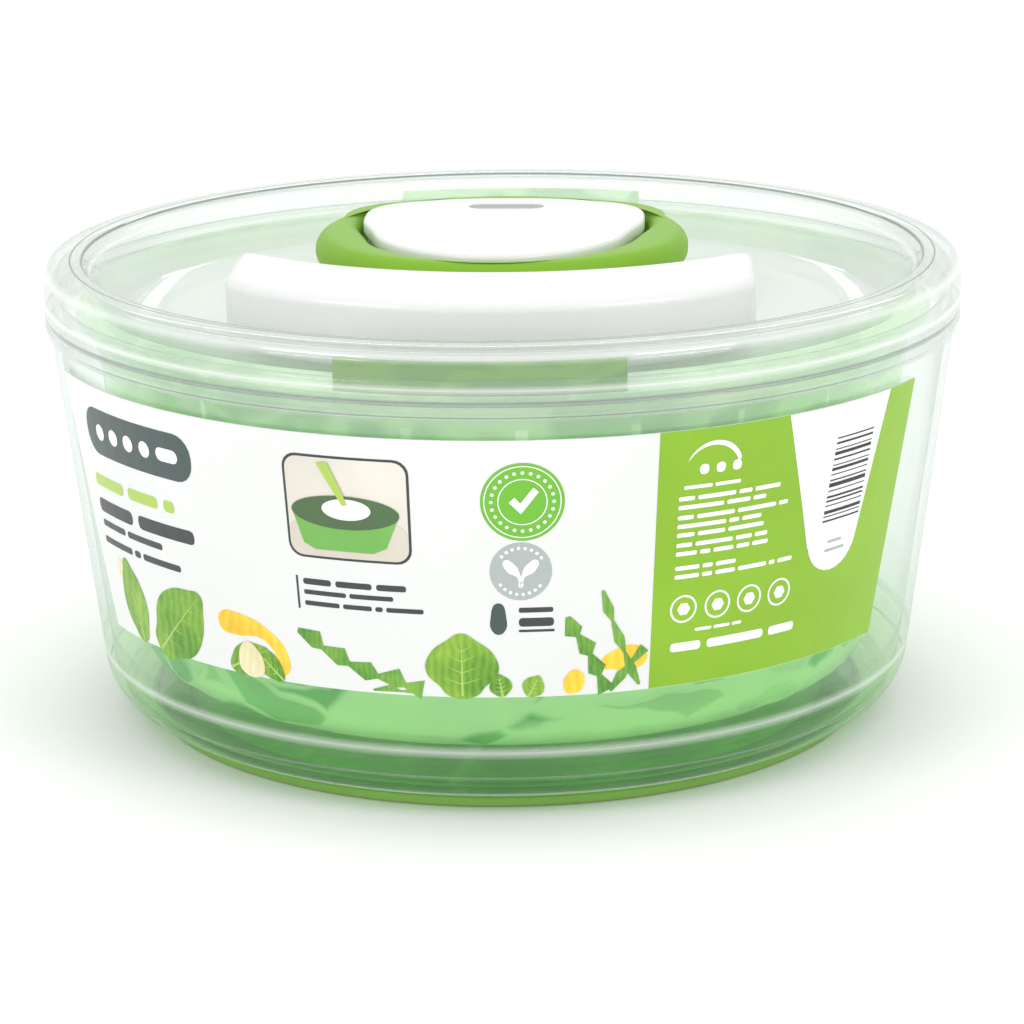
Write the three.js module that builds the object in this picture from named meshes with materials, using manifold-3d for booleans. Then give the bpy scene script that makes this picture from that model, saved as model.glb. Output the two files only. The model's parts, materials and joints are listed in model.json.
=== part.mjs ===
// A pull-cord salad spinner. A clear bowl stands on a non-slip foot ring and holds a spinning basket. The clear
// lid carries the cord drive, its pull ring and a press-down brake bar.
// Millimetres, +Z up. The brake bar and the label face -Y. The origin is on the table, under the middle.

import * as THREE from 'three';
import { mergeVertices } from 'three/addons/utils/BufferGeometryUtils.js';
import Module from 'manifold-3d';

const wasm = await Module();
wasm.setup();

// ---- Driving dimensions -------------------------------------------------------------------------------------

const GAP = 0.3; // between pieces that touch
const ROUND = 60; // facets round the large turned pieces
const SMALL_ROUND = 16; // facets round bosses, pins and screws

// Bowl and its foot ring
const rimRadius = 130;
const bowlHeight = 116.7; // to the top of the bead that the lid rests on
const bowlWall = 2.4;
const bowlLean = 0.1221; // how far the wall leans out for each millimetre of height
const bowlCorner = 15; // radius where the wall meets the base
const beadHeight = 3.5;
const beadReach = 1.3; // how far the bead stands out of the wall
const lipHeight = 5.3; // the upstand inside the lid's skirt
const lipThickness = 2.2;
const footHeight = 3;
const footWidth = 11.5;
const footOverhang = 2; // the foot ring reaches this far past the flat of the base
const pivotRadius = 4;
const pivotHeight = 13.3; // above the bowl's floor
const pivotFlare = 10; // the flare round its foot
const pivotFlareHeight = 2.5;

// Label
const labelHeight = 70.9;
const labelDrop = 9.4; // from the top of the bead to the label
const labelThickness = 0.35;
const labelFrom = -65.5; // degrees round from the front, towards +X
const labelTo = 61.5;

// Basket
const basketWall = 2;
const basketGap = 10; // between basket and bowl wall
const basketLift = 10; // between basket floor and bowl floor
const basketCorner = 8;
const basketRimHeight = 2.5;
const basketRimGap = 3.5; // between basket rim and bowl lip
const basketUpstand = 3.5;
const liftTabHeight = 8.3; // above the rim, for lifting the basket out
const liftTabThickness = 1.6;
const liftTabAngle = 18; // half its width, in degrees
const upstandClearance = 1.9; // between the upstand and the lid above it
const bushWall = 2.6;
const bushLength = 11.5;
const lugCount = 6;
const lugWidth = 8;
const lugClearance = 1.5; // each side of a lug
const ribThickness = 2;
const ribDepth = 3.5;
const ribHeight = 13;
const wallSlots = 18;
const wallSlotWidth = 4;
const wallSlotHeight = 52;
const floorSlots = 9;
const floorSlotWidth = 5;
const floorSlotLength = 46;

// Lid
const lidWall = 2.2;
const skirtThickness = 2.5;
const lidRise = 14.1; // from the skirt's lower edge to the crest
const shoulder = 4.5;
const crestWidth = 11.3; // from the rim to the inner edge of the crest
const recessDepth = 16.6;
const recessLean = 0.645; // the recess wall's run for each millimetre of drop
const lidBore = 16;

// Cord reel and its housing
const reelRadius = 30;
const reelClearance = 3.5;
const flangeThickness = 1.2;
const flangeDepth = 10; // from the drum to the flange's edge
const drumWall = 2;
const windingHeight = 5.2;
const windingDepth = 5.2;
const skirtDrop = 4.2; // the reel's skirt round the ratchet
const skirtWall = 2;
const skirtInset = 4;
const housingWall = 3;
const deckThickness = 3.2;
const deckMargin = 17; // the deck's reach past the pull ring
const housingFloor = 2.6;
const bossRadius = 4;
const noseBossRadius = 3.6;
const noseBossGap = 1.8; // between the reel and the boss in the housing's nose
const plateThickness = 1.8;
const axleRadius = 3;
const axleHeadRadius = 5.5;
const axleHeadHeight = 1.5;
const arborWall = 1.7;
const springStrip = 0.5;
const springTurns = 4;
const cordRadius = 0.85;
const guideRadius = 3.2;
const guideSlack = 0.5; // round the cord in its guide
const guideDrop = 4; // from the ring's underside to the cord guide's axis

// Top cap and pull ring
const capOverhang = 1;
const capHeight = 4.8;
const capSkin = 2.6;
const capSkirt = 2;
const capShoulder = 3; // how much wider the cap is towards its rear
const capNose = 6.5; // how far its front reaches past its waist
const capTail = 3.5; // how far its rear reaches past its waist
const slotLength = 22;
const slotWidth = 8;
const slotDepth = 1.6;
const ringClearance = 0.8; // between ring and cap
const ringBand = 8.2; // the ring's width at the cap's nose
const ringHeight = 10.5;
const ringBelowCap = 1; // from the cap's top to the ring's top
const knotRadius = 2.4;
const knotPocketRadius = 3.1;
const knotPocketDepth = 6;

// Drive disc, ratchet and pawls
const discDrop = 5.3; // from the lid's underside to the disc
const discThickness = 2.5;
const discClearance = 1.8;
const hubRadius = 13;
const hubDrop = 1.5;
const spigotRadius = 8;
const ratchetTeeth = 12;
const ratchetRadius = 13.5;
const toothDepth = 2;
const ratchetThickness = 4;
const pawlCount = 2;
const pawlArm = 9;
const pawlAngle = 124.5; // the arm's direction from the radius through its pivot, in degrees
const pawlEye = 3;
const pawlPinRadius = 1.5;
const pawlThickness = 3.3;

// Brake bar
const brakeMargin = 7; // from the recess floor's edge to the bar's outer face
const brakeInnerRadius = 97;
const brakeFingerGap = 8; // between ring and bar
const brakeHalfSpan = 71;
const brakeCorner = 9;
const brakeWall = 2.2;
const brakeHeight = 19.5;
const brakeTravel = 2.5;
const brakeLift = 3; // from the recess floor to the bar's lower edge
const postSpread = 45;
const postRadius = 3.5;
const postClearance = 0.5;
const postSleeve = 6.5;
const springHeight = 8.9;
const springRadius = 5.2;
const wireRadius = 0.5;
const wireTurns = 4;
const padRadius = 8;
const padStem = 2.2;
const padStemHeight = 5.8;
const padRunning = 0.2; // left between a pressed pad and the disc

// Screws
const screwRadius = 1.5;
const screwHeadRadius = 3.2;
const screwHeadHeight = 2.1;
const screwLength = 7;
const plateScrewLength = 4;

// ---- Places worked out from them ----------------------------------------------------------------------------

const base = footHeight + GAP; // the bowl's underside
const bowlFloor = base + bowlWall;
const labelTop = bowlHeight - labelDrop;
const labelBottom = labelTop - labelHeight;
const beadBottom = bowlHeight - beadHeight;
const lipTop = bowlHeight + lipHeight;
const lipOuter = rimRadius - skirtThickness - GAP;
const lipInner = lipOuter - lipThickness;

const skirtBottom = bowlHeight + GAP;
const crest = skirtBottom + lidRise;
const crestInner = rimRadius - crestWidth;
const recessFloor = crest - recessDepth;
const recessRadius = crestInner - recessLean * recessDepth;
const lidUnder = recessFloor - lidWall;
const recessWallAcross = lidWall * Math.hypot(1, recessLean);

const discTop = lidUnder - discDrop;
const discBottom = discTop - discThickness;
const hubBottom = discBottom - hubDrop;

const deckBottom = recessFloor + GAP;
const deckTop = deckBottom + deckThickness;
const housingInside = deckBottom + housingFloor;
const skirtFoot = housingInside + GAP;
const webBottom = skirtFoot + skirtDrop;
const webTop = webBottom + flangeThickness;
const windingBottom = webTop + GAP;
const windingTop = windingBottom + windingHeight;
const reelTop = windingTop + GAP + flangeThickness;
const towerTop = reelTop + GAP;
const plateBottom = towerTop + GAP;
const plateTop = plateBottom + plateThickness;
const capBottom = plateTop + GAP;
const capTop = capBottom + capHeight;
const drumRadius = reelRadius - flangeDepth;
const windingInner = drumRadius + GAP;
const windingOuter = windingInner + windingDepth;
const skirtOuter = reelRadius - skirtInset;

const capReach = reelRadius + reelClearance + housingWall + capOverhang; // to the cap's waist
const noseReach = capReach + capNose;
const ringRadius = noseReach + ringClearance + ringBand;
const ringTop = capTop - ringBelowCap;
const ringBottom = ringTop - ringHeight;
const cordY = -(ringRadius - ringBand / 2);
const guideZ = ringBottom - guideDrop;
const bossPlace = 0.7 * capReach; // along x and y, in the cap's wide rear corners
const noseBossY = -(reelRadius + noseBossGap + noseBossRadius);

const brakeOuterRadius = recessRadius - brakeMargin;
const brakeInnerEdge = ringRadius + brakeFingerGap;
const brakeInnerCentre = brakeInnerRadius - brakeInnerEdge;
const brakeBottom = recessFloor + brakeLift;
const brakeTop = brakeBottom + brakeHeight;
const postY =
  (brakeInnerCentre - Math.sqrt(brakeInnerRadius ** 2 - postSpread ** 2) -
    Math.sqrt(brakeOuterRadius ** 2 - postSpread ** 2)) / 2;
const padBottom = discTop + brakeTravel + padRunning;
const padTop = lidUnder - 2 * GAP;

const pawlPivot = (ratchetRadius + skirtOuter) / 2 - 0.25;
const pawlBottom = webBottom - GAP - pawlThickness;

/** The bowl's outer radius at a height. */
const bowlRadius = (z) => rimRadius - beadReach - bowlLean * (beadBottom - z);
/** The basket's outer radius at a height. */
const basketRadius = (z) => bowlRadius(z) - bowlWall - basketGap;
/** The radius of the recess wall's underside at a height. */
const lidUnderRadius = (z) => recessRadius + recessLean * (z - recessFloor) + recessWallAcross;

const ribRadius = basketRadius(discTop) - basketWall - ribDepth;
const discRadius = ribRadius - discClearance;

// ---- Helpers ------------------------------------------------------------------------------------------------

const radians = THREE.MathUtils.degToRad;

/** A geometry with positions alone, shared corners merged and flat triangles dropped. */
function closed(geometry) {
  geometry.deleteAttribute('normal');
  geometry.deleteAttribute('uv');
  const merged = mergeVertices(geometry, 1e-4);
  const kept = [];
  const corners = merged.index.array;
  for (let i = 0; i < corners.length; i += 3) {
    const [a, b, c] = corners.slice(i, i + 3);
    if (a !== b && b !== c && c !== a) kept.push(a, b, c);
  }
  merged.setIndex(kept);
  return merged;
}

/** A solid that can be joined and cut. */
function solid(geometry) {
  const mesh = closed(geometry);
  const vertProperties = new Float32Array(mesh.attributes.position.array);
  return new wasm.Manifold(new wasm.Mesh({ numProp: 3, vertProperties, triVerts: new Uint32Array(mesh.index.array) }));
}

/** The geometry of a solid. */
function geometryOf(shape) {
  const { vertProperties, triVerts } = shape.getMesh();
  const geometry = new THREE.BufferGeometry();
  geometry.setAttribute('position', new THREE.BufferAttribute(new Float32Array(vertProperties), 3));
  geometry.setIndex([...triVerts]);
  return geometry;
}

/** Points on an arc of a flat outline, angles in degrees. */
function arc(x, y, radius, from, to, steps) {
  return Array.from({ length: steps + 1 }, (_, i) => {
    const angle = radians(from + ((to - from) * i) / steps);
    return [x + radius * Math.cos(angle), y + radius * Math.sin(angle)];
  });
}

/** A solid turned round Z from [radius, height] points, which run anticlockwise. */
function turned(profile, facets = ROUND) {
  const points = profile.map(([radius, z]) => new THREE.Vector2(Math.max(radius, 0), z));
  const [first, last] = [points[0], points[points.length - 1]];
  if (first.x > 0 || last.x > 0) points.push(first.clone());
  return solid(new THREE.LatheGeometry(points, facets).rotateX(Math.PI / 2));
}

/** A ring or, with no inner radius, a disc. */
function ring(inner, outer, bottom, top, facets = SMALL_ROUND) {
  return turned([[inner, bottom], [outer, bottom], [outer, top], [inner, top]], facets);
}

/** A flat outline raised from one height to another. */
function raised(shape, bottom, top, curveSegments = 6) {
  const geometry = new THREE.ExtrudeGeometry(shape, { depth: top - bottom, bevelEnabled: false, curveSegments });
  return solid(geometry.translate(0, 0, bottom));
}

/** A block centred on [x, y] and turned about Z, from one height to another. */
function block(x, y, across, along, bottom, top, degrees = 0) {
  const geometry = new THREE.BoxGeometry(across, along, top - bottom).translate(x, y, (bottom + top) / 2);
  return solid(geometry.rotateZ(radians(degrees)));
}

/** A round bar along a smooth curve. */
function bar(curve, radius, steps, sides) {
  const section = new THREE.Shape().absarc(0, 0, radius, 0, 2 * Math.PI);
  const options = { extrudePath: curve, steps, curveSegments: sides / 2, bevelEnabled: false };
  return solid(new THREE.ExtrudeGeometry(section, options));
}

/** The cap's rounded-triangle outline, its nose to -Y, moved outwards by an offset. */
function capOutline(offset) {
  const right = [
    [0.413 * capReach, -(capReach + 0.31 * capNose)],
    [0.787 * capReach, -0.693 * capReach],
    [capReach, -0.08 * capReach],
    [capReach + capShoulder, 0.347 * capReach],
    [capReach, 0.747 * capReach],
    [0.64 * capReach, capReach - 0.15 * capTail],
  ];
  const left = right.map(([x, y]) => [-x, y]).reverse();
  const ends = [[0, -noseReach], ...right, [0, capReach + capTail], ...left];
  const curve = new THREE.CatmullRomCurve3(ends.map(([x, y]) => new THREE.Vector3(x, y, 0)), true);
  const count = 34;
  return new THREE.Shape(
    Array.from({ length: count }, (_, i) => {
      const point = curve.getPointAt(i / count);
      const along = curve.getTangentAt(i / count);
      return new THREE.Vector2(point.x + offset * along.y, point.y - offset * along.x);
    }),
  );
}

/** The brake bar's crescent, moved inwards by an inset. */
function crescent(inset) {
  const outer = brakeOuterRadius - inset;
  const inner = brakeInnerRadius + inset;
  const end = brakeHalfSpan - inset;
  const corner = Math.max(brakeCorner - inset, 1);
  const turn = end - corner;
  const outerY = (x) => -Math.sqrt(outer ** 2 - x ** 2);
  const innerY = (x) => brakeInnerCentre - Math.sqrt(inner ** 2 - x ** 2);
  const rounding = Math.min(corner, (innerY(end) - outerY(end)) / 2.5);
  const outerFrom = Math.atan2(outerY(turn), -turn);
  const innerFrom = Math.atan2(innerY(turn) - brakeInnerCentre, turn);
  const shape = new THREE.Shape();
  shape.absarc(0, 0, outer, outerFrom, -Math.PI - outerFrom, false);
  shape.quadraticCurveTo(end, outerY(end), end, outerY(end) + rounding);
  shape.lineTo(end, innerY(end) - rounding);
  shape.quadraticCurveTo(end, innerY(end), turn, innerY(turn));
  shape.absarc(0, brakeInnerCentre, inner, innerFrom, -Math.PI - innerFrom, true);
  shape.quadraticCurveTo(-end, innerY(end), -end, innerY(end) - rounding);
  shape.lineTo(-end, outerY(end) + rounding);
  shape.quadraticCurveTo(-end, outerY(end), -turn, outerY(turn));
  return shape;
}

/** A stadium outline across X. */
function stadium(length, width, y) {
  const reach = (length - width) / 2;
  const shape = new THREE.Shape();
  shape.absarc(reach, y, width / 2, -Math.PI / 2, Math.PI / 2, false);
  shape.absarc(-reach, y, width / 2, Math.PI / 2, (3 * Math.PI) / 2, false);
  return shape;
}

/** A panhead screw on the Z axis. Its head is below its seat and its shank above, or the other way up. */
function screw(seat, length, up) {
  const profile = [
    [0, -screwHeadHeight],
    [0.7 * screwHeadRadius, -screwHeadHeight],
    [screwHeadRadius, -0.6 * screwHeadHeight],
    [screwHeadRadius, 0],
    [screwRadius, 0],
    [screwRadius, length - screwRadius],
    [0, length],
  ];
  const upright = turned(profile, 12);
  return (up ? upright : upright.rotate([180, 0, 0])).translate([0, 0, seat]);
}

const group = new THREE.Group();

/** Adds a named piece in its own material. */
function add(name, shape, color, { roughness = 0.4, metalness = 0, opacity = 1 } = {}) {
  const material = new THREE.MeshStandardMaterial({ color, roughness, metalness, opacity, transparent: opacity < 1 });
  const mesh = new THREE.Mesh(geometryOf(shape), material);
  mesh.name = name;
  group.add(mesh);
}

const clear = { roughness: 0.08, opacity: 0.3 };
const greenClear = { roughness: 0.15, opacity: 0.6 };
const CLEAR = '#e9f2ee';
const GREEN = '#6fb83a';
const LEAF = '#49b85a';
const WHITE = '#f4f5f3';
const GREY = '#9fa3a3';
const NATURAL = '#e6e2d2';
const STEEL = '#b9bcc0';
const steel = { roughness: 0.3, metalness: 0.9 };

// ---- Bowl ---------------------------------------------------------------------------------------------------

const lean = Math.atan(bowlLean);
const leanDegrees = THREE.MathUtils.radToDeg(lean);

/** The middle of the corner arc that joins a base at this height to a leaning wall. */
function cornerCentre(radiusAt, floor, radius) {
  const z = floor + radius;
  return [radiusAt(z - radius * Math.sin(lean)) - radius * Math.cos(lean), z];
}

const [bowlCornerR, bowlCornerZ] = cornerCentre(bowlRadius, base, bowlCorner);

function bowl() {
  const pivotTop = bowlFloor + pivotHeight;
  return turned([
    [0, base],
    ...arc(bowlCornerR, bowlCornerZ, bowlCorner, -90, -leanDegrees, 4),
    [bowlRadius(beadBottom), beadBottom],
    [rimRadius, beadBottom + beadReach],
    [rimRadius, bowlHeight],
    [lipOuter, bowlHeight],
    [lipOuter, lipTop],
    [lipInner, lipTop],
    [lipInner, bowlHeight - lipThickness],
    [bowlRadius(beadBottom) - bowlWall, beadBottom - bowlWall],
    ...arc(bowlCornerR, bowlCornerZ, bowlCorner - bowlWall, -leanDegrees, -90, 3),
    [pivotRadius + pivotFlare, bowlFloor],
    [pivotRadius, bowlFloor + pivotFlareHeight],
    [pivotRadius, pivotTop - pivotRadius / 2],
    [0, pivotTop],
  ]);
}

const footOuter = bowlCornerR + footOverhang;
const footInner = footOuter - footWidth;

/** A sector of this reach between two directions, in degrees from the front towards +X. */
function sector(from, to, reach) {
  const rim = arc(0, 0, reach, from - 90, to - 90, 12).map(([x, y]) => new THREE.Vector2(x, y));
  return new THREE.Shape([new THREE.Vector2(0, 0), ...rim]);
}

function labelSleeve() {
  const inner = (z) => bowlRadius(z) + GAP;
  const sleeve = turned([
    [inner(labelBottom), labelBottom],
    [inner(labelBottom) + labelThickness, labelBottom],
    [inner(labelTop) + labelThickness, labelTop],
    [inner(labelTop), labelTop],
  ]);
  return sleeve.intersect(raised(sector(labelFrom, labelTo, 2 * rimRadius), labelBottom - 5, labelTop + 5));
}

add('bowl', bowl(), CLEAR, clear);
add('foot_ring', ring(footInner, footOuter, 0, footHeight, ROUND), GREEN, { roughness: 0.7 });
add('label_sleeve', labelSleeve(), WHITE, { roughness: 0.35 });

// ---- Basket -------------------------------------------------------------------------------------------------

const basketUnder = bowlFloor + basketLift;
const basketFloor = basketUnder + basketWall;
const basketRimBottom = bowlHeight - basketRimHeight + 0.8;
const basketRimTop = basketRimBottom + basketRimHeight;
const upstandTop = basketRimTop + basketUpstand;
const bushInner = pivotRadius + GAP;
const bushOuter = bushInner + bushWall;
const bushTop = bowlFloor + pivotHeight + GAP + 1.2;
const bossInner = bushOuter + GAP;
const bossOuter = bossInner + basketWall + 0.7;
const bossTop = bushTop + GAP + basketWall;

function basket() {
  const inside = (z) => basketRadius(z) - basketWall;
  const [cornerR, cornerZ] = cornerCentre(basketRadius, basketUnder, basketCorner);
  const upstandInner = lidUnderRadius(upstandTop) + upstandClearance;
  let shape = turned([
    [0, bossTop - basketWall],
    [bossInner, bossTop - basketWall],
    [bossInner, basketUnder - 4],
    [bossOuter, basketUnder - 4],
    [bossOuter, basketUnder],
    ...arc(cornerR, cornerZ, basketCorner, -90, -leanDegrees, 3),
    [basketRadius(basketRimBottom), basketRimBottom],
    [lipInner - basketRimGap, basketRimBottom],
    [lipInner - basketRimGap, basketRimTop],
    [upstandInner + basketWall, basketRimTop],
    [upstandInner + basketWall, upstandTop],
    [upstandInner, upstandTop],
    [upstandInner, basketRimTop],
    [inside(basketRimBottom), basketRimBottom],
    ...arc(cornerR, cornerZ, basketCorner - basketWall, -leanDegrees, -90, 2),
    [bossOuter + basketWall, basketFloor],
    [bossOuter, bossTop],
    [0, bossTop],
  ]);
  const rimOuter = lipInner - basketRimGap;
  const tabTop = basketRimTop + liftTabHeight;
  const tabs = ring(rimOuter - liftTabThickness, rimOuter, basketRimTop - 1, tabTop, ROUND);
  for (const middle of [0, 180]) {
    const wedge = sector(middle - liftTabAngle, middle + liftTabAngle, 2 * rimRadius);
    shape = shape.add(tabs.intersect(raised(wedge, basketRimTop - 2, tabTop + 1)));
  }
  const ribTop = discTop + 4.5;
  const wall = inside(ribTop - ribHeight) + basketWall / 2;
  const ribReach = wall - ribRadius;
  const ribOffset = lugWidth / 2 + lugClearance + ribThickness / 2;
  const slotMiddle = (basketFloor + discTop) / 2;
  for (let i = 0; i < lugCount; i += 1) {
    for (const side of [-1, 1]) {
      const x = ribRadius + ribReach / 2;
      const y = side * ribOffset;
      shape = shape.add(block(x, y, ribReach, ribThickness, ribTop - ribHeight, ribTop, (i * 360) / lugCount));
    }
  }
  for (let i = 0; i < wallSlots; i += 1) {
    const low = slotMiddle - wallSlotHeight / 2;
    const angle = ((i + 0.5) * 360) / wallSlots;
    shape = shape.subtract(block(inside(slotMiddle), 0, 30, wallSlotWidth, low, low + wallSlotHeight, angle));
  }
  for (let i = 0; i < floorSlots; i += 1) {
    const middle = (bossOuter + cornerR) / 2;
    const angle = ((i + 0.5) * 360) / floorSlots;
    const cut = block(middle, 0, floorSlotLength, floorSlotWidth, basketUnder - 2, basketFloor + 2, angle);
    shape = shape.subtract(cut);
  }
  return shape;
}

function pivotBush() {
  return turned([
    [bushInner, bushTop - bushLength],
    [bushOuter, bushTop - bushLength],
    [bushOuter, bushTop],
    [0, bushTop],
    [0, bushTop - 1.2],
    [bushInner, bushTop - 1.2],
  ], SMALL_ROUND);
}

add('basket', basket(), LEAF, greenClear);
add('basket_pivot_bush', pivotBush(), NATURAL);

// ---- Lid ----------------------------------------------------------------------------------------------------

const screwPlaces = [[bossPlace, bossPlace], [-bossPlace, bossPlace], [0, noseBossY]];
const postPlaces = { left: -postSpread, right: postSpread };

/** A clear hole round Z at a place, cut right through. */
function hole(x, y, radius, bottom, top) {
  return ring(0, radius, bottom, top).translate([x, y, 0]);
}

function lid() {
  const under = crest - lidWall;
  let shape = turned([
    [rimRadius, skirtBottom],
    ...arc(rimRadius - shoulder, crest - shoulder, shoulder, 0, 90, 4),
    [crestInner + 1, crest],
    [crestInner, crest - 0.7],
    [recessRadius, recessFloor],
    [lidBore, recessFloor],
    [lidBore, lidUnder],
    [lidUnderRadius(lidUnder), lidUnder],
    [lidUnderRadius(under), under],
    [rimRadius - shoulder, under],
    [rimRadius - skirtThickness, under - lidWall],
    [rimRadius - skirtThickness, skirtBottom],
  ]);
  for (const [x, y] of screwPlaces) shape = shape.subtract(hole(x, y, screwRadius + GAP, lidUnder - 1, deckBottom));
  for (const x of Object.values(postPlaces)) {
    shape = shape.subtract(hole(x, postY, postRadius + postClearance, lidUnder - 1, deckBottom));
  }
  return shape;
}

add('lid', lid(), CLEAR, clear);

// ---- Drive housing ------------------------------------------------------------------------------------------

function mechanismHousing() {
  const wallOuter = capOutline(-capOverhang);
  const wallInner = capOutline(-capOverhang - housingWall);
  let shape = ring(0, ringRadius + deckMargin, deckBottom, deckTop, ROUND).subtract(
    raised(crescent(-1), deckBottom - 1, deckTop + 1),
  );
  shape = shape.add(raised(wallOuter, deckBottom, towerTop)).subtract(raised(wallInner, housingInside, towerTop + 1));
  for (const [x, y] of screwPlaces) {
    const nose = x === 0;
    const top = nose ? guideZ - 1.7 : towerTop;
    const boss = ring(0, nose ? noseBossRadius : bossRadius, deckBottom + 1, top).translate([x, y, 0]);
    shape = shape.add(boss).subtract(hole(x, y, screwRadius + GAP, deckBottom - 1, deckBottom + screwLength - 2 * GAP));
    if (!nose) shape = shape.subtract(hole(x, y, screwRadius + GAP, towerTop - plateScrewLength, towerTop + 1));
  }
  const guideHole = ring(0, guideRadius - 1 + GAP, 0, 2 * housingWall + 6).rotate([90, 0, 0]);
  shape = shape.subtract(guideHole.translate([0, -(noseReach - capOverhang) + housingWall + 2, guideZ]));
  return shape.subtract(hole(0, 0, lidBore, deckBottom - 1, housingInside + 1));
}

/** The spring arbor hangs from the plate, round the axle. */
function bearingPlate() {
  const arbor = ring(0, axleRadius + GAP + arborWall, windingBottom + GAP, plateBottom + 1);
  let shape = raised(capOutline(-capOverhang), plateBottom, plateTop).add(arbor);
  shape = shape.subtract(hole(0, 0, axleRadius + GAP, windingBottom, plateTop + 1));
  for (const [x, y] of screwPlaces.filter(([x]) => x !== 0)) {
    shape = shape.subtract(hole(x, y, screwRadius + GAP, plateBottom - 1, plateTop + 1));
  }
  return shape;
}

const slotY = 0.72 * capReach;

function topCap() {
  return raised(capOutline(0), capBottom, capTop)
    .subtract(raised(capOutline(-capSkirt), capBottom - 1, capTop - capSkin))
    .subtract(raised(stadium(slotLength, slotWidth, slotY), capTop - slotDepth, capTop + 1));
}

function slotInsert() {
  const outline = stadium(slotLength - 2 * GAP, slotWidth - 2 * GAP, slotY);
  return raised(outline, capTop - slotDepth + GAP, capTop - GAP);
}

/** A flanged pin. It drops in through the plate and takes the retaining screw in its lower end. */
function axlePin() {
  const bore = screwRadius + GAP;
  return turned([
    [bore, hubBottom],
    [axleRadius, hubBottom],
    [axleRadius, capBottom],
    [axleHeadRadius, capBottom],
    [axleHeadRadius, capBottom + axleHeadHeight],
    [0, capBottom + axleHeadHeight],
    [0, hubBottom + screwLength + GAP],
    [bore, hubBottom + screwLength + GAP],
  ], SMALL_ROUND);
}

/** A flanged eyelet through the front of the housing wall. */
function cordGuide() {
  const bore = cordRadius + guideSlack;
  const neck = guideRadius - 1;
  const eyelet = turned([
    [bore, -1],
    [guideRadius, -1],
    [guideRadius, 0],
    [neck, GAP],
    [neck, housingWall + GAP],
    [bore, housingWall + GAP],
  ], 16);
  return eyelet.rotate([-90, 0, 0]).translate([0, -(noseReach - capOverhang) - 2 * GAP, guideZ]);
}

/** The cord from the winding through the guide and up to the ring. */
function cordLead() {
  const away = windingOuter + cordRadius + GAP;
  const wallY = -(noseReach - capOverhang - housingWall);
  const tangent = Math.acos(away / -wallY);
  const [startX, startY] = [-away * Math.sin(tangent), -away * Math.cos(tangent)];
  const startZ = (windingBottom + windingTop) / 2;
  const points = [
    [startX, startY, startZ],
    [0.6 * startX, startY + 0.4 * (wallY - startY), startZ - 0.2],
    [0.15 * startX, wallY + 3.5, guideZ + 0.6],
    [0, wallY + 0.5, guideZ],
    [0, wallY - housingWall / 2, guideZ],
    [0, wallY - housingWall - 1.8, guideZ],
    [0, cordY + 1, guideZ + 1.4],
    [0, cordY, ringBottom - GAP],
  ];
  const curve = new THREE.CatmullRomCurve3(points.map((point) => new THREE.Vector3(...point)));
  return bar(curve, cordRadius, 22, 8);
}

/** A coil spring round a brake post, from the lid to the bar's sleeve. */
function brakeSpring(x) {
  const bottom = recessFloor + GAP + wireRadius;
  const rise = springHeight - 2 * wireRadius;
  class Coil extends THREE.Curve {
    getPoint(t) {
      const angle = t * wireTurns * 2 * Math.PI;
      return new THREE.Vector3(springRadius * Math.cos(angle), springRadius * Math.sin(angle), bottom + rise * t);
    }
  }
  return bar(new Coil(), wireRadius, wireTurns * 10, 6).translate([x, postY, 0]);
}

add('mechanism_housing', mechanismHousing(), WHITE);
add('bearing_plate', bearingPlate(), NATURAL);
add('top_cap', topCap(), WHITE);
add('slot_insert', slotInsert(), GREY);
add('axle_pin', axlePin(), STEEL, steel);
add('cord_guide', cordGuide(), GREY);
screwPlaces.forEach(([x, y], i) => {
  add(`housing_screw_${i + 1}`, screw(lidUnder - GAP, screwLength, true).translate([x, y, 0]), STEEL, steel);
});
screwPlaces.filter(([x]) => x !== 0).forEach(([x, y], i) => {
  add(`plate_screw_${i + 1}`, screw(plateTop + GAP, plateScrewLength, false).translate([x, y, 0]), STEEL, steel);
});
add('cord_lead', cordLead(), WHITE, { roughness: 0.8 });
for (const [side, x] of Object.entries(postPlaces)) add(`brake_spring_${side}`, brakeSpring(x), STEEL, steel);
add('thrust_washer', ring(screwRadius + GAP, hubRadius - 4, hubBottom - GAP - 1.2, hubBottom - GAP), NATURAL);
add('retaining_screw', screw(hubBottom - 2 * GAP - 1.2, screwLength, true), STEEL, steel);

// ---- Drive --------------------------------------------------------------------------------------------------

const spigotTop = webBottom - 3 * GAP;

function driveDisc() {
  const hubTop = housingInside - GAP / 3;
  let shape = turned([
    [0, hubBottom],
    [hubRadius - 3, hubBottom],
    [hubRadius - 3, discBottom],
    [discRadius, discBottom],
    [discRadius, discTop],
    [hubRadius, discTop],
    [hubRadius, hubTop],
    [0, hubTop],
  ]);
  const lugReach = basketRadius(discBottom) - basketWall - discClearance;
  for (let i = 0; i < lugCount; i += 1) {
    const inner = discRadius - 4;
    const middle = (inner + lugReach) / 2;
    const lug = block(middle, 0, lugReach - inner, lugWidth, discBottom, discTop, (i * 360) / lugCount);
    shape = shape.add(lug);
  }
  const spigot = ring(0, spigotRadius, hubTop - 1, spigotTop, 6);
  return shape.add(spigot).subtract(hole(0, 0, axleRadius + GAP, hubBottom - 1, spigotTop + 1));
}

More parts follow.
